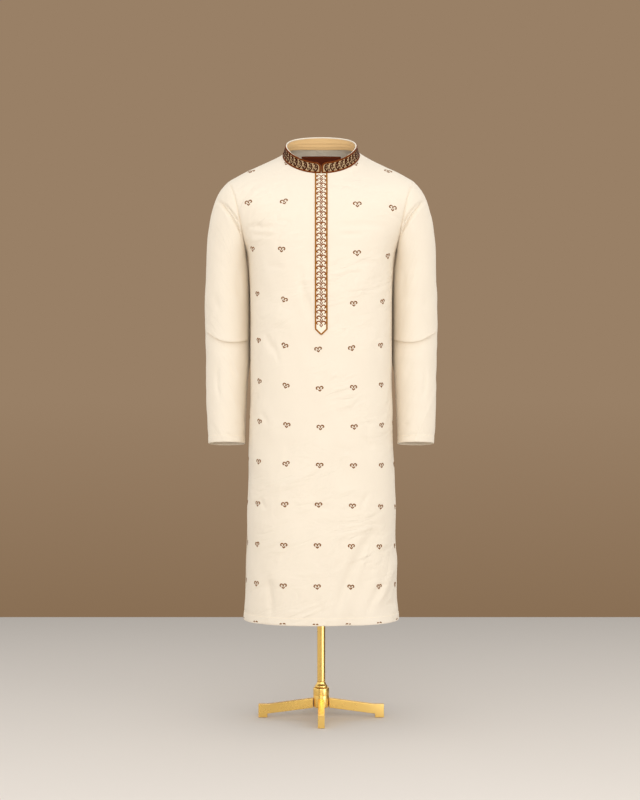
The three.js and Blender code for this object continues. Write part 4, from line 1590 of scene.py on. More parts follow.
@dataclass
class Placket:
    """The placket: a facing strip down the chest with a pointed foot, its piping and its chain of scrolls."""

    front: Panel
    cloth: Finish
    trim: Finish
    thread: Finish
    half: float = 14.0
    start: float = 1.4
    shoulder_z: float = 867.0
    tip_z: float = 854.0
    blunt: float = 1.5
    gap: float = 0.3
    thick: float = 1.2
    inset: float = 1.7
    cord_width: float = 3.5
    cord_height: float = 1.15
    pitch: float = 12.0
    first_scroll: float = 6.2
    thread_height: float = 0.55
    turned: float = 0.5
    columns: int = 14
    rows: int = 190
    points: int = 12
    edge_width: float = 1.6
    edge_drop: float = 0.25
    uneven_size: Pair = (0.03, 2.3)
    uneven_across: Pair = (0.25, 1.7)
    uneven_down: Pair = (0.4, 3.1)
    uneven_thread: Pair = (0.06, 4.1)
    strokes: tuple[Stroke, ...] = (
        Stroke(((0.4, -4.4), (1.5, -1.6), (3.7, 0.1), (6.7, 0.1), (9.1, -1.9), (9.4, -4.7), (7.6, -6.3),
                (5.9, -4.9)), 2.9),
        Stroke(((1.3, -5.9), (2.7, -7.7), (0.9, -10.0)), 2.3),
        Stroke(((0.0, -2.9), (0.0, -5.6)), 3.1, False),
        Stroke(((-1.5, -10.5), (0.0, -10.8), (1.5, -10.5)), 2.8, False),
    )
    surface: Surface = field(init=False)
    u: Array = field(init=False)
    v: Array = field(init=False)
    long: Array = field(init=False)

    def build_surface(self) -> None:
        """A strip of its own columns and rows over the front panel, whose foot is a blunt point."""
        base = self.front.surface
        down = base.up[:1] - base.up
        side = np.linspace(self.blunt, self.half, self.columns)
        u = self.u = np.concatenate([-side[::-1], [0.0], side])
        foot_z = lerp(self.tip_z, self.shoulder_z,
                      np.clip((np.abs(u) - self.blunt) / (self.half - self.blunt), 0, 1))
        row, col = base.locate(base.across, base.points[..., 2], u, foot_z)
        self.long = base.mix(down, row, col)
        self.v = lerp(self.start, self.long[None], np.linspace(0, 1, self.rows)[:, None])
        row, col = base.locate(base.across, down, np.broadcast_to(u, self.v.shape), self.v)
        edge = (1 - smoothstep(self.half - np.abs(u), 0, self.edge_width))[None] * self.edge_drop
        face = base.sample(row, col, self.gap + self.thick)
        self.surface = Surface(face - base.facing(row, col) * edge[..., None])

    def place(self, u: Array, v: Array, lift: float) -> tuple[Array, Array]:
        """Places on the strip's face.

        Args:
            u: distances across it from its middle.
            v: distances down from the neck.
            lift: how far out of the face.

        Returns:
            The points and the normals there.
        """
        col = np.interp(u, self.u, np.arange(len(self.u)))
        end = np.interp(u, self.u, self.long)
        row = (v - self.start) / (end - self.start) * (len(self.v) - 1)
        return self.surface.sample(row, col, lift), self.surface.facing(row, col)

    def piping_path(self) -> tuple[Array, Array]:
        """The piping's path over the strip: down one side, round the point and up the other.

        Returns:
            Distances across and down.
        """
        shoulder, tip = self.long[0], self.long[len(self.long) // 2]
        slope = (tip - shoulder) / (self.half - self.blunt)
        side, low = self.half - self.inset, shoulder + self.inset * slope - self.inset * math.hypot(1, slope)
        corner = np.array([(side, 1.6), (side, low), (1.1, tip - self.inset - 0.6)])
        long, slant = np.linspace(corner[0], corner[1], 150), np.linspace(corner[1], corner[2], 14)
        half = np.concatenate([long[:-1], slant])
        return np.concatenate([half[:, 0], -half[::-1, 0]]), np.concatenate([half[:, 1], half[::-1, 1]])

    def scrolls(self) -> tuple[Array, Array, Array]:
        """The chain of scrolls, repeated down the strip; each size and place is a little uneven.

        Returns:
            The lines, their normals and their widths.
        """
        count = self.points
        lines, wide = strokes_as_arrays(self.strokes, count)
        n = np.arange(int((self.long[0] - 4) / self.pitch))[:, None, None]
        size = 1 + uneven(*self.uneven_size, n)
        u = lines[None, ..., 0] * size + uneven(*self.uneven_across, n)
        v = self.first_scroll + n * self.pitch - lines[None, ..., 1] * size + uneven(*self.uneven_down, n)
        wide = wide[None] * (1 + uneven(*self.uneven_thread, n, np.arange(u.shape[1])[:, None]))
        points, out = self.place(u, v, SUNK)
        return points.reshape(-1, count, 3), out.reshape(-1, count, 3), wide.reshape(-1, count)

    def build(self) -> list[Object]:
        """Makes the strip, its piping and its scrolls.

        Returns:
            The pieces.
        """
        self.build_surface()
        path, out = self.place(*self.piping_path(), -0.05)
        cord = raised_lines(path[None], out[None], self.cord_width, self.cord_height, sides=8)
        lines, normals, wide = self.scrolls()
        chain = raised_lines(lines, normals, wide, self.thread_height)
        return [
            make_sheet("placket", self.surface, self.thick, self.cloth,
                       node="placket_strip"),
            make_piece("placket_piping_cord", *cord, self.trim, Slot.BROWN, 75, "placket_piping"),
            make_piece("placket_scrolls", *chain, self.thread, Slot.BROWN, 80),
        ]


@dataclass
class CollarScrolls:
    """Leaning scrolls worked round the outer band between its pipings, mirrored about the front and back.
    Each is a tall scroll that leans back and ends in a hook, a curl over the hook, a short leaf and two
    dots, drawn over one pitch in millimetres and up the band from -1 to 1."""

    collar: Collar
    thread: Finish
    pitch: float = 12.7
    edge: float = 4.4
    width: float = 3.2
    height: float = 0.6
    start: float = 2.4
    points: int = 18
    uneven_height: Pair = (-0.04, 2.9)
    uneven_thread: Pair = (0.1, 3.7)
    strokes: tuple[Stroke, ...] = (
        Stroke(((3.6, 0.95), (1.3, 0.55), (0.5, 0.0), (2.1, -0.55), (4.3, -0.92), (6.5, -0.82), (6.7, -0.42),
                (5.5, -0.28)), 1.15, False),
        Stroke(((9.9, 0.62), (8.2, 0.93), (5.9, 0.84), (5.1, 0.42), (6.4, 0.1), (7.9, 0.26)), 0.9, False),
        Stroke(((3.1, 0.2), (4.0, 0.0), (4.6, -0.2)), 0.9, False),
        Stroke(((8.7, -0.25), (9.9, -0.5), (10.0, -0.85)), 0.95, False),
        Stroke(((9.6, 0.14), (10.4, 0.1)), 1.15, False),
    )

    def build(self) -> Object:
        """Repeats the pitch from the front end to the back, and its mirror image on the other half.

        Returns:
            The embroidery.
        """
        collar, count = self.collar, self.points
        angles, arcs = collar.arc_table()
        first = float(np.interp(collar.first_angle(), angles, arcs)) + self.edge + self.start
        room = arcs[-1] / 2 - first
        repeats = int(round(room / self.pitch))
        lines, wide = strokes_as_arrays(self.strokes, count, 0.2, 0.4)
        n = np.arange(repeats)[:, None, None]
        s = first + (n * self.pitch + lines[None, ..., 0]) * room / (repeats * self.pitch)
        angle = np.interp(s, arcs, angles)
        cut = collar.corner_cut(s - first + self.edge + self.start - collar.end_gap)
        low, high = self.edge, collar.frame(angle)[2] - self.edge - cut
        up = (low + high) / 2 + lines[None, ..., 1] * (high - low) / 2 * (1 + uneven(*self.uneven_height, n))
        angle, up = np.concatenate([angle, 2 * np.pi - angle]), np.concatenate([up, up])
        wide = np.tile(wide[None] * self.width * (1 + uneven(*self.uneven_thread, n)), (2, 1, 1))
        points, out = collar.place(angle, up, SUNK), collar.out(angle, up)
        mesh = raised_lines(points.reshape(-1, count, 3), out.reshape(-1, count, 3), wide.reshape(-1, count),
                            self.height)
        return make_piece("collar_scrolls", *mesh, self.thread, Slot.BROWN, 80)


@dataclass
class Label:
    """The plain woven label, sewn flat inside the back panel below the collar."""

    back: Panel
    cloth: Finish
    thread: Finish
    half: float = 45.0
    rows: Pair = (9.0, 16.6)
    cells: tuple[int, int] = (60, 24)
    thick: float = 0.7
    gap: float = 0.25
    line_inset: Pair = (1.6, 2.4)
    line_points: tuple[int, int] = (80, 40)
    line_width: float = 0.8
    line_height: float = 0.25

    def build(self) -> list[Object]:
        """Makes the label and the lighter line woven round it near its edge.

        Returns:
            The pieces.
        """
        base, (wide, tall) = self.back.surface, self.cells
        x = np.linspace(-self.half, self.half, wide + 1)
        index = np.broadcast_to(np.arange(len(base.points), dtype=float)[:, None], base.across.shape)
        want_x, want_row = np.meshgrid(x, np.linspace(*self.rows, tall + 1))
        row, col = base.locate(base.points[..., 0] / 3, index, want_x / 3, want_row)
        surface = Surface(base.sample(row, col, -(self.back.thick + self.gap + self.thick)))
        (a, b), (m, n) = self.line_inset, self.line_points
        across, down = np.linspace(a, wide - a, m), np.linspace(b, tall - b, n)
        cols = np.concatenate([across, np.full(n, wide - a), across[::-1], np.full(n, a)])
        rows = np.concatenate([np.full(m, tall - b), down[::-1], np.full(m, b), down])
        path, out = surface.sample(rows, cols, SUNK), surface.facing(rows, cols)
        line = raised_lines(path[None], out[None], self.line_width, self.line_height, True, 4)
        return [
            make_sheet("neck_label", surface, self.thick, self.cloth,
                       slot=Slot.LABEL),
            make_piece("neck_label_line", *line, self.thread, Slot.LABEL, 80),
        ]


# ---- the stand


def capped_tube(rings: Array) -> tuple[Array, list[Array]]:
    """Closed rings joined, with a flat cap at either end.

    Args:
        rings: rings × points × 3, each anticlockwise as seen from the last.

    Returns:
        The points and the faces.
    """
    rows, cols = rings.shape[:2]
    cap = np.arange(cols)[None]
    sides = grid_faces(rows, cols, True).reshape(-1, 4)[:, ::-1]
    return rings.reshape(-1, 3), [sides, cap[:, ::-1], cap + (rows - 1) * cols]


def lathe(profile: Array, segments: int = 112) -> tuple[Array, list[Array]]:
    """A profile of radii and heights, from the foot up, carried round the Z axis and capped."""
    a, (r, z) = 2 * np.pi * np.arange(segments) / segments, profile.T[..., None]
    return capped_tube(np.stack(np.broadcast_arrays(r * np.cos(a), r * np.sin(a), z), -1))


def rounded(corners: list[Pair], radius: float, steps: int = 4) -> Array:
    """A profile whose inner corners are cut by small arcs: the quadratic curve between two points that
    stand a radius away from the corner on either side.

    Args:
        corners: the profile's corners.
        radius: how far from a corner its arc starts, 0.45 of the shorter side at most.
        steps: points of each arc.

    Returns:
        The profile's points.
    """
    c = np.array(corners, float)
    corner, before, after = c[1:-1], c[:-2] - c[1:-1], c[2:] - c[1:-1]
    shorter = np.minimum(np.linalg.norm(before, axis=1), np.linalg.norm(after, axis=1))
    reach = np.minimum(radius, shorter * 0.45)[:, None]
    t = np.linspace(0, 1, steps)[None, :, None]
    a, b = (corner + unit(before) * reach)[:, None], (corner + unit(after) * reach)[:, None]
    arcs = (1 - t) ** 2 * a + 2 * t * (1 - t) * corner[:, None] + t * t * b
    return np.concatenate([c[:1], arcs.reshape(-1, 2), c[-1:]])


@dataclass
class Stand:
    """The display stand: a pole in a ferrule, a hub, four bent legs and the bar under the shoulders."""

    form: BodyForm
    gold: Finish
    ivory: Finish
    pole_radius: float = 9.0
    pole_foot: float = 79.4
    pole_top: float = 1205.7
    hub_radius: float = 17.8
    hub_foot: float = 21.8
    hub_top: float = 66.8
    groove_z: float = 49.7
    groove: float = 0.5
    ferrule_foot: float = 67.1
    ferrule_radii: Pair = (14.2, 9.6)
    ferrule_height: float = 12.0
    ferrule_lip: float = 3.0
    leg_width: float = 15.0
    leg_bevel: float = 0.9
    leg_outline: tuple[Pair, ...] = (
        (18.1, 42.8), (119, 29.3), (141, 29.3), (141, 0), (121, 0), (121, 8.3), (18.1, 21.8))
    rest_dip: float = 1222.0
    rest_reach: float = 186.0
    rest_half: float = 9.0
    rest_thick: float = 16.0
    rest_meets: float = 104.0
    rest_under: float = 3.1
    rest_rings: tuple[int, int] = (91, 36)

    def build(self) -> list[Object]:
        """Makes every piece of the stand.

        Returns:
            The pieces.
        """
        p, r, g, z = self.pole_radius, self.hub_radius, self.groove, self.groove_z
        low, high = self.ferrule_foot, self.ferrule_foot + self.ferrule_height
        (wide, slim), lip = self.ferrule_radii, low + self.ferrule_lip
        profiles = {
            "pole": rounded([(p - 0.8, self.pole_foot), (p, self.pole_foot + 0.8), (p, 640.0),
                             (p, self.pole_top - 0.8), (p - 0.8, self.pole_top)], 0.6),
            "ferrule": rounded([(wide - 0.9, low), (wide, low + 0.8), (wide, lip + 0.8),
                                (wide - 1.6, lip + 2.4), (slim + 1.1, high - 4.2), (slim + 0.2, high - 2.0),
                                (slim - 0.1, high)], 0.9),
            "hub": rounded([(r - 3, self.hub_foot), (r, self.hub_foot + 1.6), (r, z - g), (r - g, z - g / 2),
                            (r - g, z + g / 2), (r, z + g), (r, self.hub_top - 1.6),
                            (r - 1.8, self.hub_top)], 1.0),
        }
        pieces = [make_piece(f"stand_{name}_metal", *lathe(profile), None, self.gold, Slot.GOLD, 40,
                             f"stand_{name}") for name, profile in profiles.items()]
        for quarter, name in enumerate(("left", "back", "right", "front")):
            pieces.append(self.build_leg(name, quarter))
        return [*pieces, self.build_rest()]

    def build_leg(self, name: str, quarter: int) -> Object:
        """A leg: the bent bar's outline given its width, turned by quarters, its edges bevelled.

        Args:
            name: which leg it is.
            quarter: how many quarter turns it stands from the +X leg.

        Returns:
            The leg.
        """
        across, up = np.array(self.leg_outline).T
        count = len(across)
        sides = np.array([-1, 1])[:, None] * self.leg_width / 2
        flat = np.stack(np.broadcast_arrays(across[None], sides, up[None]), -1).reshape(-1, 3)
        cos, sin = math.cos(quarter * math.pi / 2), math.sin(quarter * math.pi / 2)
        turn = np.array([[cos, sin, 0], [-sin, cos, 0], [0, 0, 1]])
        k = np.arange(count)
        rim = np.stack([k, (k + 1) % count, (k + 1) % count + count, k + count], -1)
        faces = [rim, k[None, ::-1], k[None] + count]
        piece = make_piece(f"stand_leg_{name}_metal", flat @ turn, faces, None, self.gold, Slot.GOLD, 30,
                           f"stand_leg_{name}")
        bevel = piece.modifiers.new("bevel", "BEVEL")
        bevel.width, bevel.segments, bevel.harden_normals = self.leg_bevel * MM, 3, True
        return piece

    def crest(self, x: Array) -> Array:
        """The bar's top line: it follows the cloth's underside, and dips in the middle to meet the pole.

        Args:
            x: the places across.

        Returns:
            The heights.
        """
        def under(at: Array) -> Array:
            """The underside of the cloth at the ridge."""
            return self.form.ridge(at) - self.rest_under / self.form.ridge_normal(at)[..., 2]

        meets = under(np.array([self.rest_meets]))[0]
        middle = lerp(self.rest_dip, meets, smoothstep(np.abs(x), 0, self.rest_meets))
        return np.where(np.abs(x) >= self.rest_meets, under(x), middle)

    def build_rest(self) -> Object:
        """The bar: ovals along the crest that close at either end as √(1 − t⁸).

        Returns:
            The bar.
        """
        rings, count = self.rest_rings
        x = self.rest_reach * np.sin(np.linspace(-np.pi / 2, np.pi / 2, rings))[:, None]
        full = np.sqrt(np.clip(1 - (np.abs(x) / (self.rest_reach + 3)) ** 8, 0, 1))
        tall = self.rest_thick * lerp(0.55, 1, full)
        a = 2 * np.pi * np.arange(count)[None] / count
        z = self.crest(x) - tall / 2 + tall / 2 * np.sin(a)
        ovals = np.stack(np.broadcast_arrays(x, self.rest_half * full * np.cos(a), z), -1)
        return make_piece("shoulder_rest_bar", *capped_tube(ovals), None, self.ivory, Slot.IVORY, 60,
                          "shoulder_rest")


# ---- finishes


@dataclass
class Graph:
    """A short hand for node trees: each call adds a node, fills its sockets and gives back an output."""

    tree: Tree

    def fill(self, node: Node, sockets: dict[str | int, object]) -> Node:
        """Sets a node's inputs.

        Args:
            node: the node.
            sockets: a value or another node's output for each input.

        Returns:
            The node.
        """
        for name, value in sockets.items():
            if isinstance(value, Socket):
                self.tree.links.new(value, node.inputs[name])
            else:
                node.inputs[name].default_value = value
        return node

    def add(self, kind: str, sockets: dict[str | int, object] | None = None, **settings: object) -> Node:
        """Adds a node.

        Args:
            kind: the node's type.
            sockets: a value or another node's output for each of its inputs.
            settings: its own properties.

        Returns:
            The node.
        """
        node = self.tree.nodes.new(kind)
        for name, value in settings.items():
            setattr(node, name, value)
        return self.fill(node, sockets or {})

    def sum(self, operation: str, *values: object) -> Socket:
        """One step of arithmetic."""
        return self.add("ShaderNodeMath", dict(enumerate(values)), operation=operation).outputs[0]

    def blend(self, share: object, low: object, high: object) -> Socket:
        """The mix of two colours."""
        return self.add("ShaderNodeMix", {0: share, 6: low, 7: high}, data_type="RGBA").outputs[2]

    def range(self, value: object, low: float = 0.0, high: float = 1.0, start: float = 0.0,
              end: float = 1.0) -> Socket:
        """A value from start to end spread from low to high."""
        spread = {"Value": value, "From Min": start, "From Max": end, "To Min": low, "To Max": high}
        return self.add("ShaderNodeMapRange", spread).outputs[0]

    def noise(self, place: object, scale: object, detail: float = 2.0, **more: float) -> Socket:
        """Noise about one half."""
        sockets = {"Vector": place, "Scale": scale, "Detail": detail, **more}
        return self.add("ShaderNodeTexNoise", sockets).outputs[0]

    def drawn(self, place: object, stretch: Triple) -> Socket:
        """Places drawn out by another share along each axis."""
        return self.add("ShaderNodeVectorMath", {0: place, 1: stretch}, operation="MULTIPLY").outputs[0]

    def apart(self, place: object) -> bpy.types.NodeInputs:
        """The three axes of a place."""
        return self.add("ShaderNodeSeparateXYZ", {0: place}).outputs

    def bump(self, height: object, distance: float, strength: float = 1.0, **more: object) -> Socket:
        """The normals of a height."""
        sockets = {"Strength": strength, "Distance": distance, "Height": height, **more}
        return self.add("ShaderNodeBump", sockets).outputs[0]

    def cut(self) -> Socket:
        """The place on the cut cloth, or along and across a thread, in metres."""
        return self.add("ShaderNodeUVMap", uv_map=CUT).outputs[0]

    def place(self, kind: str = "Object") -> Socket:
        """The place on the piece in metres, or another kind of place."""
        return self.add("ShaderNodeTexCoord").outputs[kind]

    def group(self, tree: Tree, sockets: dict[str | int, object]) -> bpy.types.NodeOutputs:
        """The outputs of a group with its own values."""
        return self.add("ShaderNodeGroup", sockets, node_tree=tree).outputs


def start_graph(owner: bpy.types.Material | bpy.types.World, kind: str) -> tuple[Graph, Node]:
    """Turns on a material's or world's nodes, and finds the node of a kind that it starts with."""
    owner.use_nodes = True
    return Graph(owner.node_tree), next(n for n in owner.node_tree.nodes if n.type == kind)


def linear(colour: Triple, share: float = 1.0) -> tuple[float, float, float, float]:
    """A screen colour from 0 to 255 as light, with its alpha, made lighter or darker by a share."""
    light = [c / 255 / 12.92 if c <= 10.3 else ((c / 255 + 0.055) / 1.055) ** 2.4 for c in colour]
    return (*[c * share for c in light], 1.0)


def new_group(name: str, values: dict[str, float],
              outputs: tuple[str, ...]) -> tuple[Graph, bpy.types.NodeOutputs, Node]:
    """An empty shader node group with a vector input, number inputs and number outputs.

    Args:
        name: the group's name.
        values: the number inputs and what each is by default.
        outputs: the outputs' names.

    Returns:
        The group's graph, what its inputs put out, and its output node.
    """
    tree = bpy.data.node_groups.new(name, "ShaderNodeTree")
    tree.interface.new_socket("Vector", in_out="INPUT", socket_type="NodeSocketVector")
    for key, value in values.items():
        tree.interface.new_socket(key, in_out="INPUT", socket_type="NodeSocketFloat").default_value = value
    for key in outputs:
        tree.interface.new_socket(key, in_out="OUTPUT", socket_type="NodeSocketFloat")
    graph = Graph(tree)
    return graph, graph.add("NodeGroupInput").outputs, graph.add("NodeGroupOutput")


@cache
def weave_group() -> Tree:
    """Plain weave: warp and weft ribs |cos u| and |cos v| that pass over each other by turns, the first
    weighed by (1 + cos u · cos v) / 2 and the second by the rest.

    Returns:
        The group, which puts out the height; the cloth's colour is darkened by it in the valleys, as painted
        shade.
    """
    g, given, out = new_group("plain_weave", {"Pitch": 0.00055}, ("Height",))
    place, scale = g.apart(given["Vector"]), g.sum("DIVIDE", math.pi, given["Pitch"])
    u, v = (g.sum("COSINE", g.sum("MULTIPLY", place[k], scale)) for k in (0, 1))
    over = g.sum("MULTIPLY_ADD", g.sum("MULTIPLY", u, v), 0.5, 0.5)
    warp = g.sum("MULTIPLY", g.sum("ABSOLUTE", u), over)
    weft = g.sum("MULTIPLY", g.sum("ABSOLUTE", v), g.sum("SUBTRACT", 1.0, over))
    g.fill(out, {"Height": g.sum("ADD", warp, weft)})
    return g.tree


@cache
def slub_group() -> Tree:
    """The yarn's uneven thickness: noise drawn out along the warp and along the weft.

    Returns:
        The group, which puts out the height and a slow shade from 0 to 1.
    """
    g, given, out = new_group("uneven_yarn", {"Fine": 700.0, "Slow": 6.0}, ("Height", "Shade"))
    both = [g.noise(g.drawn(given["Vector"], stretch), given["Fine"])
            for stretch in ((1.0, 0.03, 1.0), (0.03, 1.0, 1.0))]
    g.fill(out, {"Height": g.sum("MULTIPLY", g.sum("ADD", *both), 0.5),
                 "Shade": g.noise(given["Vector"], given["Slow"], 3.0)})
    return g.tree


@cache
def crumple_group() -> Tree:
    """Fine creases that folding and wear leave: |2n − 1| of two noises n that are drawn out in different
    ways, faded in and out by a slow noise.

    Returns:
        The group, which puts out the height.
    """
    g, given, out = new_group("fine_creases", {"Scale": 13.0}, ("Height",))
    troughs = []
    for turn, stretch in ((0.45, (1.0, 0.4, 1.0)), (-0.3, (0.6, 1.7, 1.0))):
        turned = g.add("ShaderNodeVectorRotate", {"Vector": given["Vector"], "Angle": turn},
                       rotation_type="Z_AXIS")
        noise = g.noise(g.drawn(turned.outputs[0], stretch), given["Scale"], 3.0, Distortion=0.5)
        troughs.append(g.sum("ABSOLUTE", g.sum("MULTIPLY_ADD", noise, 2.0, -1.0)))
    slow = g.noise(given["Vector"], g.sum("MULTIPLY", given["Scale"], 0.5))
    g.fill(out, {"Height": g.sum("MULTIPLY", g.sum("ADD", *troughs), g.range(slow, start=0.38, end=0.6))})
    return g.tree


@cache
def twist_group() -> Tree:
    """Twisted thread: |sin| of the way along plus the way across, so the strands slant.

    Returns:
        The group, which puts out the height; the thread's colour is darkened by it between the strands, as
        painted shade.
    """
    g, given, out = new_group("twisted_thread", {"Pitch": 0.0009, "Slant": 1.0}, ("Height",))
    place = g.apart(given["Vector"])
    lean = g.sum("MULTIPLY_ADD", place[1], given["Slant"], place[0])
    wave = g.sum("SINE", g.sum("MULTIPLY", lean, g.sum("DIVIDE", math.pi, given["Pitch"])))
    g.fill(out, {"Height": g.sum("ABSOLUTE", wave)})
    return g.tree


@cache
def smudge_group() -> Tree:
    """Handling marks: two sizes of noise multiplied.

    Returns:
        The group, which puts out a mask from 0 to 1.
    """
    g, given, out = new_group("smudges", {"Scale": 30.0}, ("Mask",))
    fine = g.noise(given["Vector"], g.sum("MULTIPLY", given["Scale"], 7.0), 4.0)
    wide = g.noise(given["Vector"], given["Scale"])
    g.fill(out, {"Mask": g.sum("MULTIPLY", wide, g.sum("MULTIPLY", fine, 2.0))})
    return g.tree


@dataclass(frozen=True)
class Finish:
    """A finish: its name, its colour, and how its material is made."""

    name: str
    colour: Triple

    def material(self) -> bpy.types.Material:
        """The finish's material, made once.

        Returns:
            The material.
        """
        found = bpy.data.materials.get(self.name)
        if found is None:
            found = bpy.data.materials.new(self.name)
            self.dress(*start_graph(found, "BSDF_PRINCIPLED"))
        return found

    def shades(self, graph: Graph, share: object, low: float, high: float) -> Socket:
        """The finish's colour, from one share of its light to another."""
        return graph.blend(share, linear(self.colour, low), linear(self.colour, high))

    def dress(self, graph: Graph, shader: Node) -> None:
        """Fills the shader; each kind of finish has its own way."""
        raise NotImplementedError


@dataclass(frozen=True)
class ClothFinish(Finish):
    """Woven cloth: a plain weave with uneven yarn, a soft sheen, slow changes of tone, and painted shade in
    the weave's valleys.
    """

    pitch: float = 0.00055
    weave: float = 0.25
    bump: float = 0.00012
    rough: float = 0.72
    sheen: float = 0.1
    # depth: the colour's share at its darkest, partly painted shade in the weave's valleys and partly the
    # yarn's own uneven tone
    depth: float = 0.93
    crumple: float = 0.0

    def dress(self, graph: Graph, shader: Node) -> None:
        """Weave and yarn go to the bump and, faintly, to the colour, where the weave's valleys are painted
        shade and the yarn's slow noise is the cloth's own uneven tone; under them lie the fine creases.

        Args:
            graph: the material's nodes.
            shader: the node to fill.
        """
        cut, creased = graph.cut(), {}
        weave = graph.group(weave_group(), {"Vector": cut, "Pitch": self.pitch})["Height"]
        yarn = graph.group(slub_group(), {"Vector": cut})
        # painted shade: the weave's valleys darken the colour; the yarn's slow noise is the cloth's own
        # uneven tone
        shade = graph.sum("MULTIPLY_ADD", weave, 0.35, graph.sum("MULTIPLY", yarn["Shade"], 0.65))
        if self.crumple:
            fine = graph.group(crumple_group(), {"Vector": cut})["Height"]
            creased["Normal"] = graph.bump(fine, self.crumple)
        height = graph.sum("MULTIPLY_ADD", yarn["Height"], 0.9, weave)
        graph.fill(shader, {
            "Base Color": self.shades(graph, shade, self.depth, 1.03),
            "Roughness": graph.range(yarn["Shade"], self.rough - 0.06, self.rough + 0.06),
            "Normal": graph.bump(height, self.bump, self.weave, **creased),
            "Sheen Weight": self.sheen,
            "Sheen Roughness": 0.45,
            "Specular IOR Level": 0.25,
        })


@dataclass(frozen=True)
class ThreadFinish(Finish):
    """Embroidery thread and cord: slanting strands with a silky shine, and painted shade between the strands.
    """

    pitch: float = 0.0009
    slant: float = 0.8
    rough: float = 0.5
    # depth: the colour's share at its darkest, painted shade between the strands
    depth: float = 0.55

    def dress(self, graph: Graph, shader: Node) -> None:
        """Strands go to the bump, and the colour is darkened between them as painted shade; a slow noise is
        the thread's own uneven tone.

        Args:
            graph: the material's nodes.
            shader: the node to fill.
        """
        twist = {"Vector": graph.cut(), "Pitch": self.pitch, "Slant": self.slant}
        strand = graph.group(twist_group(), twist)["Height"]
        yarn = graph.group(slub_group(), {"Vector": graph.place(), "Slow": 40.0, "Fine": 900.0})["Shade"]
        # painted shade: the colour is darker between the strands; the slow noise is the thread's own uneven
        # tone
        shade = graph.sum("MULTIPLY_ADD", strand, 0.6, graph.sum("MULTIPLY", yarn, 0.5))
        graph.fill(shader, {
            "Base Color": self.shades(graph, shade, self.depth, 1.15),
            "Roughness": graph.range(yarn, self.rough - 0.1, self.rough + 0.1),
            "Normal": graph.bump(strand, 0.0003, 0.5),
            "Specular IOR Level": 0.05,
        })


@dataclass(frozen=True)
class MetalFinish(Finish):
    """Polished gold plate with faint smudges."""

    rough: float = 0.25

    def dress(self, graph: Graph, shader: Node) -> None:
        """Smudges change the roughness and the colour a little.

        Args:
            graph: the material's nodes.
            shader: the node to fill.
        """
        mask = graph.group(smudge_group(), {"Vector": graph.place(), "Scale": 14.0})["Mask"]
        graph.fill(shader, {
            "Base Color": self.shades(graph, mask, 1.0, 0.96),
            "Roughness": graph.range(mask, self.rough, self.rough + 0.06),
            "Metallic": 1.0,
        })


@dataclass(frozen=True)
class PlasticFinish(Finish):
    """Moulded ivory plastic with a fine grain."""

    rough: float = 0.45

    def dress(self, graph: Graph, shader: Node) -> None:
        """A fine noise is the moulded grain, and smudges change its gloss.

        Args:
            graph: the material's nodes.
            shader: the node to fill.
        """
        place = graph.place()
        mask = graph.group(smudge_group(), {"Vector": place, "Scale": 25.0})["Mask"]
        graph.fill(shader, {
            "Base Color": self.shades(graph, mask, 1.0, 0.94),
            "Roughness": graph.range(mask, self.rough, self.rough + 0.15),
            "Normal": graph.bump(graph.noise(place, 1500.0), 0.0002, 0.15),
        })


@dataclass(frozen=True)
class FloorFinish(Finish):
    """A plain pale matt floor with painted light and shade, darker away from the lights: the share of its
    colour, painted light and shade, at two Y.
    """

    near: Pair = (-0.9, 1.09)
    far: Pair = (1.82, 0.64)

    def dress(self, graph: Graph, shader: Node) -> None:
        """Painted light and shade: the colour goes from a share of itself near by to another far away.

        Args:
            graph: the material's nodes.
            shader: the node to fill.
        """
        # painted light and shade: lighter near the lights and darker away from them
        away = graph.range(graph.apart(graph.place())[1], start=self.near[0], end=self.far[0])
        colour = self.shades(graph, away, self.near[1], self.far[1])
        graph.fill(shader, {"Base Color": colour, "Roughness": 0.5, "Specular IOR Level": 0.0})


CREAM = ClothFinish("cream_cloth_finish", (235, 223, 204), crumple=0.0045)
SLEEVE_CREAM = ClothFinish("sleeve_cloth_finish", (235, 223, 204), crumple=0.002)
TAN = ClothFinish("tan_facing_finish", (240, 200, 142), weave=0.3)
BAND_GROUND = ClothFinish("collar_ground_finish", (184, 154, 114), weave=0.3)
PLACKET_GROUND = ClothFinish("placket_ground_finish", (240, 229, 208))
LABEL_CLOTH = ClothFinish("label_finish", (104, 40, 16), sheen=0.1, rough=0.6)
# depth in a thread finish is the colour's share at its darkest, painted shade between the strands
SEWING_THREAD = ThreadFinish("sewing_thread_finish", (246, 230, 202), depth=0.8)
BUTI_THREAD = ThreadFinish("sprig_thread_finish", (130, 78, 6))
PLACKET_THREAD = ThreadFinish("placket_thread_finish", (136, 72, 0))
COLLAR_THREAD = ThreadFinish("collar_thread_finish", (58, 14, 0))
COLLAR_PIPING = ThreadFinish("collar_piping_finish", (112, 52, 8), pitch=0.0014)
PLACKET_PIPING = ThreadFinish("placket_piping_finish", (160, 102, 32), pitch=0.0014)
LABEL_THREAD = ThreadFinish("label_thread_finish", (150, 78, 44))
GOLD = MetalFinish("gold_metal_finish", (255, 214, 124))
IVORY = PlasticFinish("ivory_plastic_finish", (234, 226, 210))
FLOOR = FloorFinish("floor_finish", (218, 211, 203))


# ---- the studio


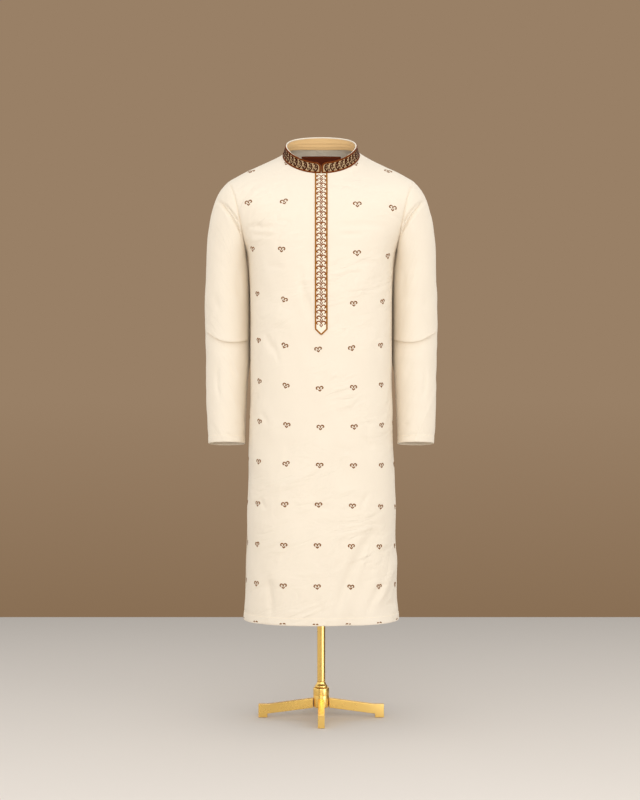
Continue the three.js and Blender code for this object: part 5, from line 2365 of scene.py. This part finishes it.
@dataclass(frozen=True)
class SoftLight:
    """A large soft light that looks at a point of the object."""

    name: str
    place: Triple
    aim: Triple
    size: Pair
    watts: float

    def build(self) -> None:
        """Makes the light, with its -Z turned to the point that it looks at."""
        lamp = bpy.data.lights.new(self.name, "AREA")
        lamp.shape, lamp.size, lamp.size_y, lamp.energy = "RECTANGLE", *self.size, self.watts
        light = add_object(self.name, lamp)
        dx, dy, dz = (b - a for a, b in zip(self.place, self.aim))
        light.location = self.place
        light.rotation_euler = (math.atan2(math.hypot(dx, dy), -dz), 0.0, math.atan2(dy, dx) - math.pi / 2)
        light.visible_camera = False


def add_stage(name: str, points: Array, faces: Array, finish: bpy.types.Material) -> Object:
    """A sheet of the studio, which is no piece of the object.

    Args:
        name: the sheet's name.
        points: its points in metres.
        faces: its faces, one a row.
        finish: what it is made of.

    Returns:
        The sheet.
    """
    mesh = bpy.data.meshes.new(name)
    mesh.from_pydata(points.tolist(), [], faces.tolist())
    mesh.materials.append(finish)
    sheet = add_object(name, mesh)
    return sheet


@dataclass(frozen=True)
class Card:
    """A card that only polished metal sees: it stands by the pole, as a studio's white and dark cards do."""

    name: str
    place: Triple
    size: Pair
    light: Triple

    def build(self) -> None:
        """A bright or dark sheet, upright, turned to the pole, that only reflections see."""
        x, y, _ = self.place
        side = np.array([-y, x, 0.0]) / math.hypot(x, y) * self.size[0] / 2
        corner = np.array([[-1, -1], [1, -1], [1, 1], [-1, 1]], float)
        points = np.array(self.place) + corner[:, :1] * side + corner[:, 1:] * [0.0, 0.0, self.size[1] / 2]
        finish = bpy.data.materials.new(self.name)
        graph, shader = start_graph(finish, "BSDF_PRINCIPLED")
        graph.fill(shader, {"Base Color": (0.0, 0.0, 0.0, 1.0), "Specular IOR Level": 0.0,
                            "Emission Color": (*self.light, 1.0), "Emission Strength": 1.0})
        card = add_stage(self.name, points, np.arange(4)[None], finish)
        card.visible_camera = card.visible_diffuse = card.visible_shadow = card.visible_transmission = False


@dataclass
class Studio:
    """A pale floor, a warm backdrop tone behind the object in a pale room, soft lights and the camera."""

    floor: Finish
    background: Triple = (153, 128, 102)
    background_foot: Triple = (137, 111, 84)
    room: Triple = (232, 231, 230)
    room_light: float = 1.3
    room_top: float = 0.9
    camera_place: Triple = (-0.0027, -3.965, 0.713)
    lens: float = 79.29
    floor_end: float = 1.825
    floor_z: float = -0.0005
    cards: tuple[Card, ...] = (
        Card("white_card", (0.184, -0.169, 0.12), (0.1, 0.25), (3.2, 3.4, 4.2)),
        Card("dark_card_left", (-0.117, -0.221, 0.12), (0.06, 0.25), (0.22, 0.19, 0.16)),
        Card("dark_card_right", (0.26, 0.13, 0.13), (0.34, 0.27), (0.1, 0.075, 0.05)),
    )
    lights: tuple[SoftLight, ...] = (
        SoftLight("front_light", (0.0, -5.0, 2.1), (0.0, 0.0, 0.75), (3.6, 2.8), 71),
        SoftLight("left_light", (-3.3, -2.0, 1.4), (0.0, 0.0, 0.8), (2.4, 2.2), 3),
        SoftLight("right_light", (2.9, -2.6, 1.3), (0.0, 0.0, 0.8), (2.0, 2.2), 12),
        SoftLight("back_light", (0.9, 4.4, 2.6), (0.0, 0.0, 0.7), (3.0, 2.0), 25),
        SoftLight("top_light", (0.0, -1.7, 3.7), (0.0, -0.1, 0.5), (3.2, 2.4), 13),
    )

    def build_room(self) -> None:
        """The world: the eye sees the backdrop's plain tone all round, a little darker at its foot. Light
        comes from the room, which grows darker from a little above the horizon to the top, and from the
        backdrop behind."""
        world = bpy.data.worlds.new("studio")
        graph, shade = start_graph(world, "BACKGROUND")
        _, away, up = graph.apart(graph.place("Generated"))
        seen = graph.add("ShaderNodeLightPath").outputs["Is Camera Ray"]
        backdrop = graph.sum("MAXIMUM", graph.range(away, start=0.75, end=0.92), seen)
        around = graph.blend(graph.range(up, start=0.1), linear(self.room, self.room_light),
                             linear(self.room, self.room_top))
        wall = graph.blend(graph.range(up, end=-0.12), linear(self.background), linear(self.background_foot))
        graph.fill(shade, {"Color": graph.blend(backdrop, around, wall)})
        bpy.context.scene.world = world

    def build(self) -> None:
        """Makes the floor, the room, the cards, the lights and the camera."""
        x, y = np.meshgrid(np.linspace(-6, 6, 25), np.linspace(-6, self.floor_end, 21))
        points = np.stack([x, y, np.full_like(x, self.floor_z)], -1).reshape(-1, 3)
        add_stage("floor", points, grid_faces(21, 25).reshape(-1, 4)[:, ::-1], self.floor.material())
        self.build_room()
        for item in (*self.cards, *self.lights):
            item.build()
        lens = bpy.data.cameras.new("camera")
        lens.lens, lens.sensor_width, lens.clip_end = self.lens, 36.0, 50.0
        camera = add_object("camera", lens)
        camera.location = self.camera_place
        camera.rotation_euler = (math.pi / 2, 0.0, 0.0)
        scene = bpy.context.scene
        scene.camera, scene.view_settings.view_transform = camera, "Standard"


# ---- the garment


FRONT_CREASES = (
    Crease(-166, 1094, -92, 1090, 6, 3.4, lean=0.3),
    Crease(-160, 1076, -98, 1071, 5, 2.8, lean=0.3),
    Crease(10, 1091, 150, 1094, 6, 2.8, bow=-3, tail=0.45),
    Crease(24, 1072, 104, 1076, 5, 2.4, tail=0.45),
    Crease(-46, 1012, -18, 872, 7, 3.6, bow=6),
    Crease(-30, 962, -16, 884, 5, 2.4, bow=3),
    Crease(-128, 864, -98, 808, 7, 2.6),
    Crease(-108, 842, -90, 790, 5, 1.6),
    Crease(132, 452, 26, 230, 11, 5.6, bow=12, tail=0.3),
    Crease(168, 384, 108, 250, 9, -4.2, bow=-8, tail=0.35),
    Crease(150, 330, 92, 228, 7, 3.4, bow=6, tail=0.35),
    Crease(140, 264, 166, 268, 4, 2.4),
    Crease(-116, 340, -106, 226, 7, 3.2, tail=0.35),
    Crease(-134, 500, -118, 470, 4.5, 2.2, bow=2),
    Crease(112, 520, 84, 470, 6, 2.2, bow=4),
    Crease(62, 392, 20, 340, 6, 2.0, bow=-3),
    Crease(-60, 404, -92, 352, 6, 1.8, bow=3),
    Crease(-30, 486, 34, 478, 5, 1.5, bow=2, tail=0.45),
    Crease(84, 634, 120, 606, 5, 1.8),
    Crease(-134, 690, -112, 654, 5, 1.8),
    Crease(-128, 1010, -74, 1004, 5, 1.8, bow=2),
    Crease(60, 1008, 138, 1014, 5, 1.8, bow=-2),
    Crease(-84, 1200, -68, 1150, 6, 1.6, tail=0.45),
    Crease(66, 1196, 84, 1156, 7, 1.3, tail=0.45),
    Crease(96, 700, 120, 560, 9, 1.6, bow=5, tail=0.45),
    Crease(-70, 640, -90, 520, 10, 1.4, bow=-5, tail=0.45),
    Crease(20, 610, 90, 596, 8, 1.3, tail=0.45),
    Crease(-20, 300, 10, 240, 8, 1.4),
    Crease(110, 842, 134, 800, 6, 1.8),
)
BACK_CREASES = (
    Crease(-150, 1100, -60, 1090, 7, 2.2),
    Crease(50, 1092, 152, 1098, 7, 2.2),
    Crease(-40, 1066, 60, 1062, 8, 1.8, tail=0.45),
    Crease(-70, 1020, -34, 860, 9, 2.4, bow=8),
    Crease(80, 930, 48, 740, 11, 2.2, bow=-8),
    Crease(-128, 820, -96, 760, 7, 2.2),
    Crease(-130, 470, -60, 230, 12, 3.0, bow=-10, tail=0.3),
    Crease(-40, 420, -20, 240, 10, 2.0, tail=0.35),
    Crease(104, 380, 112, 228, 9, 2.4, tail=0.35),
    Crease(10, 620, 70, 560, 9, 1.6, tail=0.45),
    Crease(-100, 640, -60, 560, 9, 1.6, tail=0.45),
)
FRONT_FOLDS = (Crease(140, 460, 58, 222, 22, 5), Crease(-118, 400, -126, 222, 20, 3))
BACK_FOLDS = (Crease(-140, 480, -66, 222, 24, 5), Crease(84, 600, 104, 222, 26, 4))
SLEEVE_CREASES = (
    Crease(232, 1161, 164, 1066, 3.0, 6.4, bow=2, lean=0.5, tail=0.2),
    Crease(222, 1156, 162, 1079, 2.5, 4.8, bow=2, lean=0.5, tail=0.25),
    Crease(229, 800, 222, 706, 5, 2.4, bow=-6),
    Crease(205, 800, 186, 760, 6, 1.5),
    Crease(216, 640, 180, 626, 3.5, 1.8),
    Crease(196, 664, 172, 650, 4, 1.4),
    Crease(240, 960, 226, 900, 8, 1.6, tail=0.45),
    Crease(186, 1010, 178, 930, 7, 1.8, tail=0.45),
)
SLEEVE_BACK_CREASES = (
    Crease(228, 1150, 178, 1084, 5, 2.4, bow=4, tail=0.3),
    Crease(178, 880, 246, 846, 7, 3.0, bow=-4, tail=0.35),
    Crease(182, 850, 240, 828, 5, 2.0, bow=-4),
    Crease(226, 760, 214, 680, 6, 1.8),
)


@dataclass
class Panjabi:
    """The whole garment: its pieces are made in the order in which they are sewn."""

    form: BodyForm = field(default_factory=BodyForm)

    def build(self) -> list[Object]:
        """Makes the panels, the sleeves, the collar, the placket, the label, the sprigs and the stitches.

        Returns:
            The pieces.
        """
        form = self.form
        front = Panel(form, Side.FRONT, CREAM, folds=FRONT_FOLDS, creases=FRONT_CREASES)
        back = Panel(form, Side.BACK, CREAM, folds=BACK_FOLDS, creases=BACK_CREASES,
                     unevenness=Unevenness(0.6, 230.0, 1.9))
        pieces = [front.build(), back.build()]
        sleeves = [Sleeve(form, front, back, hand, SLEEVE_CREAM, creases=SLEEVE_CREASES,
                          back_creases=SLEEVE_BACK_CREASES) for hand in (1, -1)]
        pieces += [sleeve.build() for sleeve in sleeves]
        collar = Collar(form, BAND_GROUND, TAN, COLLAR_PIPING, CREAM)
        pieces += [*collar.build(), CollarScrolls(collar, COLLAR_THREAD).build()]
        pieces += Placket(front, PLACKET_GROUND, PLACKET_PIPING, PLACKET_THREAD).build()
        pieces += Label(back, LABEL_CLOTH, LABEL_THREAD).build()
        buti, grid = Buti(BUTI_THREAD), ButiGrid()
        for panel in (front, back):
            pieces.append(buti.build(f"{panel.side.value}_sprigs", panel.surface, grid.spots(panel.side)))
        return pieces + self.stitch((front, back), sleeves)

    @staticmethod
    def row_at(height: float, heights: Array) -> float:
        """The row at which a falling column of heights has a wanted one."""
        return float(np.interp(-height, -heights, np.arange(len(heights))))

    def stitch(self, panels: tuple[Panel, Panel], sleeves: list[Sleeve]) -> list[Object]:
        """The stitches of the hem, the vents and the cuffs.

        Args:
            panels: the front and the back.
            sleeves: both sleeves.

        Returns:
            The pieces.
        """
        sewing, pieces = Stitching(SEWING_THREAD), []
        for panel in panels:
            surface = panel.surface
            rows, cols = surface.points.shape[:2]
            z = surface.points[:, cols // 2 + 4, 2]
            hem = self.row_at(panel.form.hem_z + panel.hem_turn - 1.6, z)
            vent = self.row_at(panel.form.vent_top_z, z)
            runs = [sewing.run(surface, np.full(cols - 3, hem), np.arange(1.0, cols - 2))]
            down = np.linspace(vent, rows - 2.0, 80)
            runs += [sewing.run(surface, down, np.full(80, edge)) for edge in (6.0, cols - 7.0)]
            pieces.append(sewing.build(f"{panel.side.value}_hem_stitches", runs))
        for sleeve in sleeves:
            surface = sleeve.surface
            cols = surface.points.shape[1]
            cuff = self.row_at(sleeve.cuff_turn - 1.4, (surface.up - surface.up[-1:]).mean(axis=1))
            run = sewing.run(surface, np.full(cols + 1, cuff), np.arange(0.0, cols + 1))
            pieces.append(sewing.build(f"{sleeve.name}_cuff_stitches", [run]))
        return pieces


def main() -> None:
    """Builds the garment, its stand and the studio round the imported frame, and reports each piece."""
    logging.basicConfig(level=logging.INFO, format="%(name)s: %(message)s")
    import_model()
    garment = Panjabi()
    for piece in garment.build() + Stand(garment.form, GOLD, IVORY).build():
        LOG.info("%s: %d faces", piece.name, len(piece.data.polygons))
    Studio(FLOOR).build()


if __name__ == "__main__":
    main()
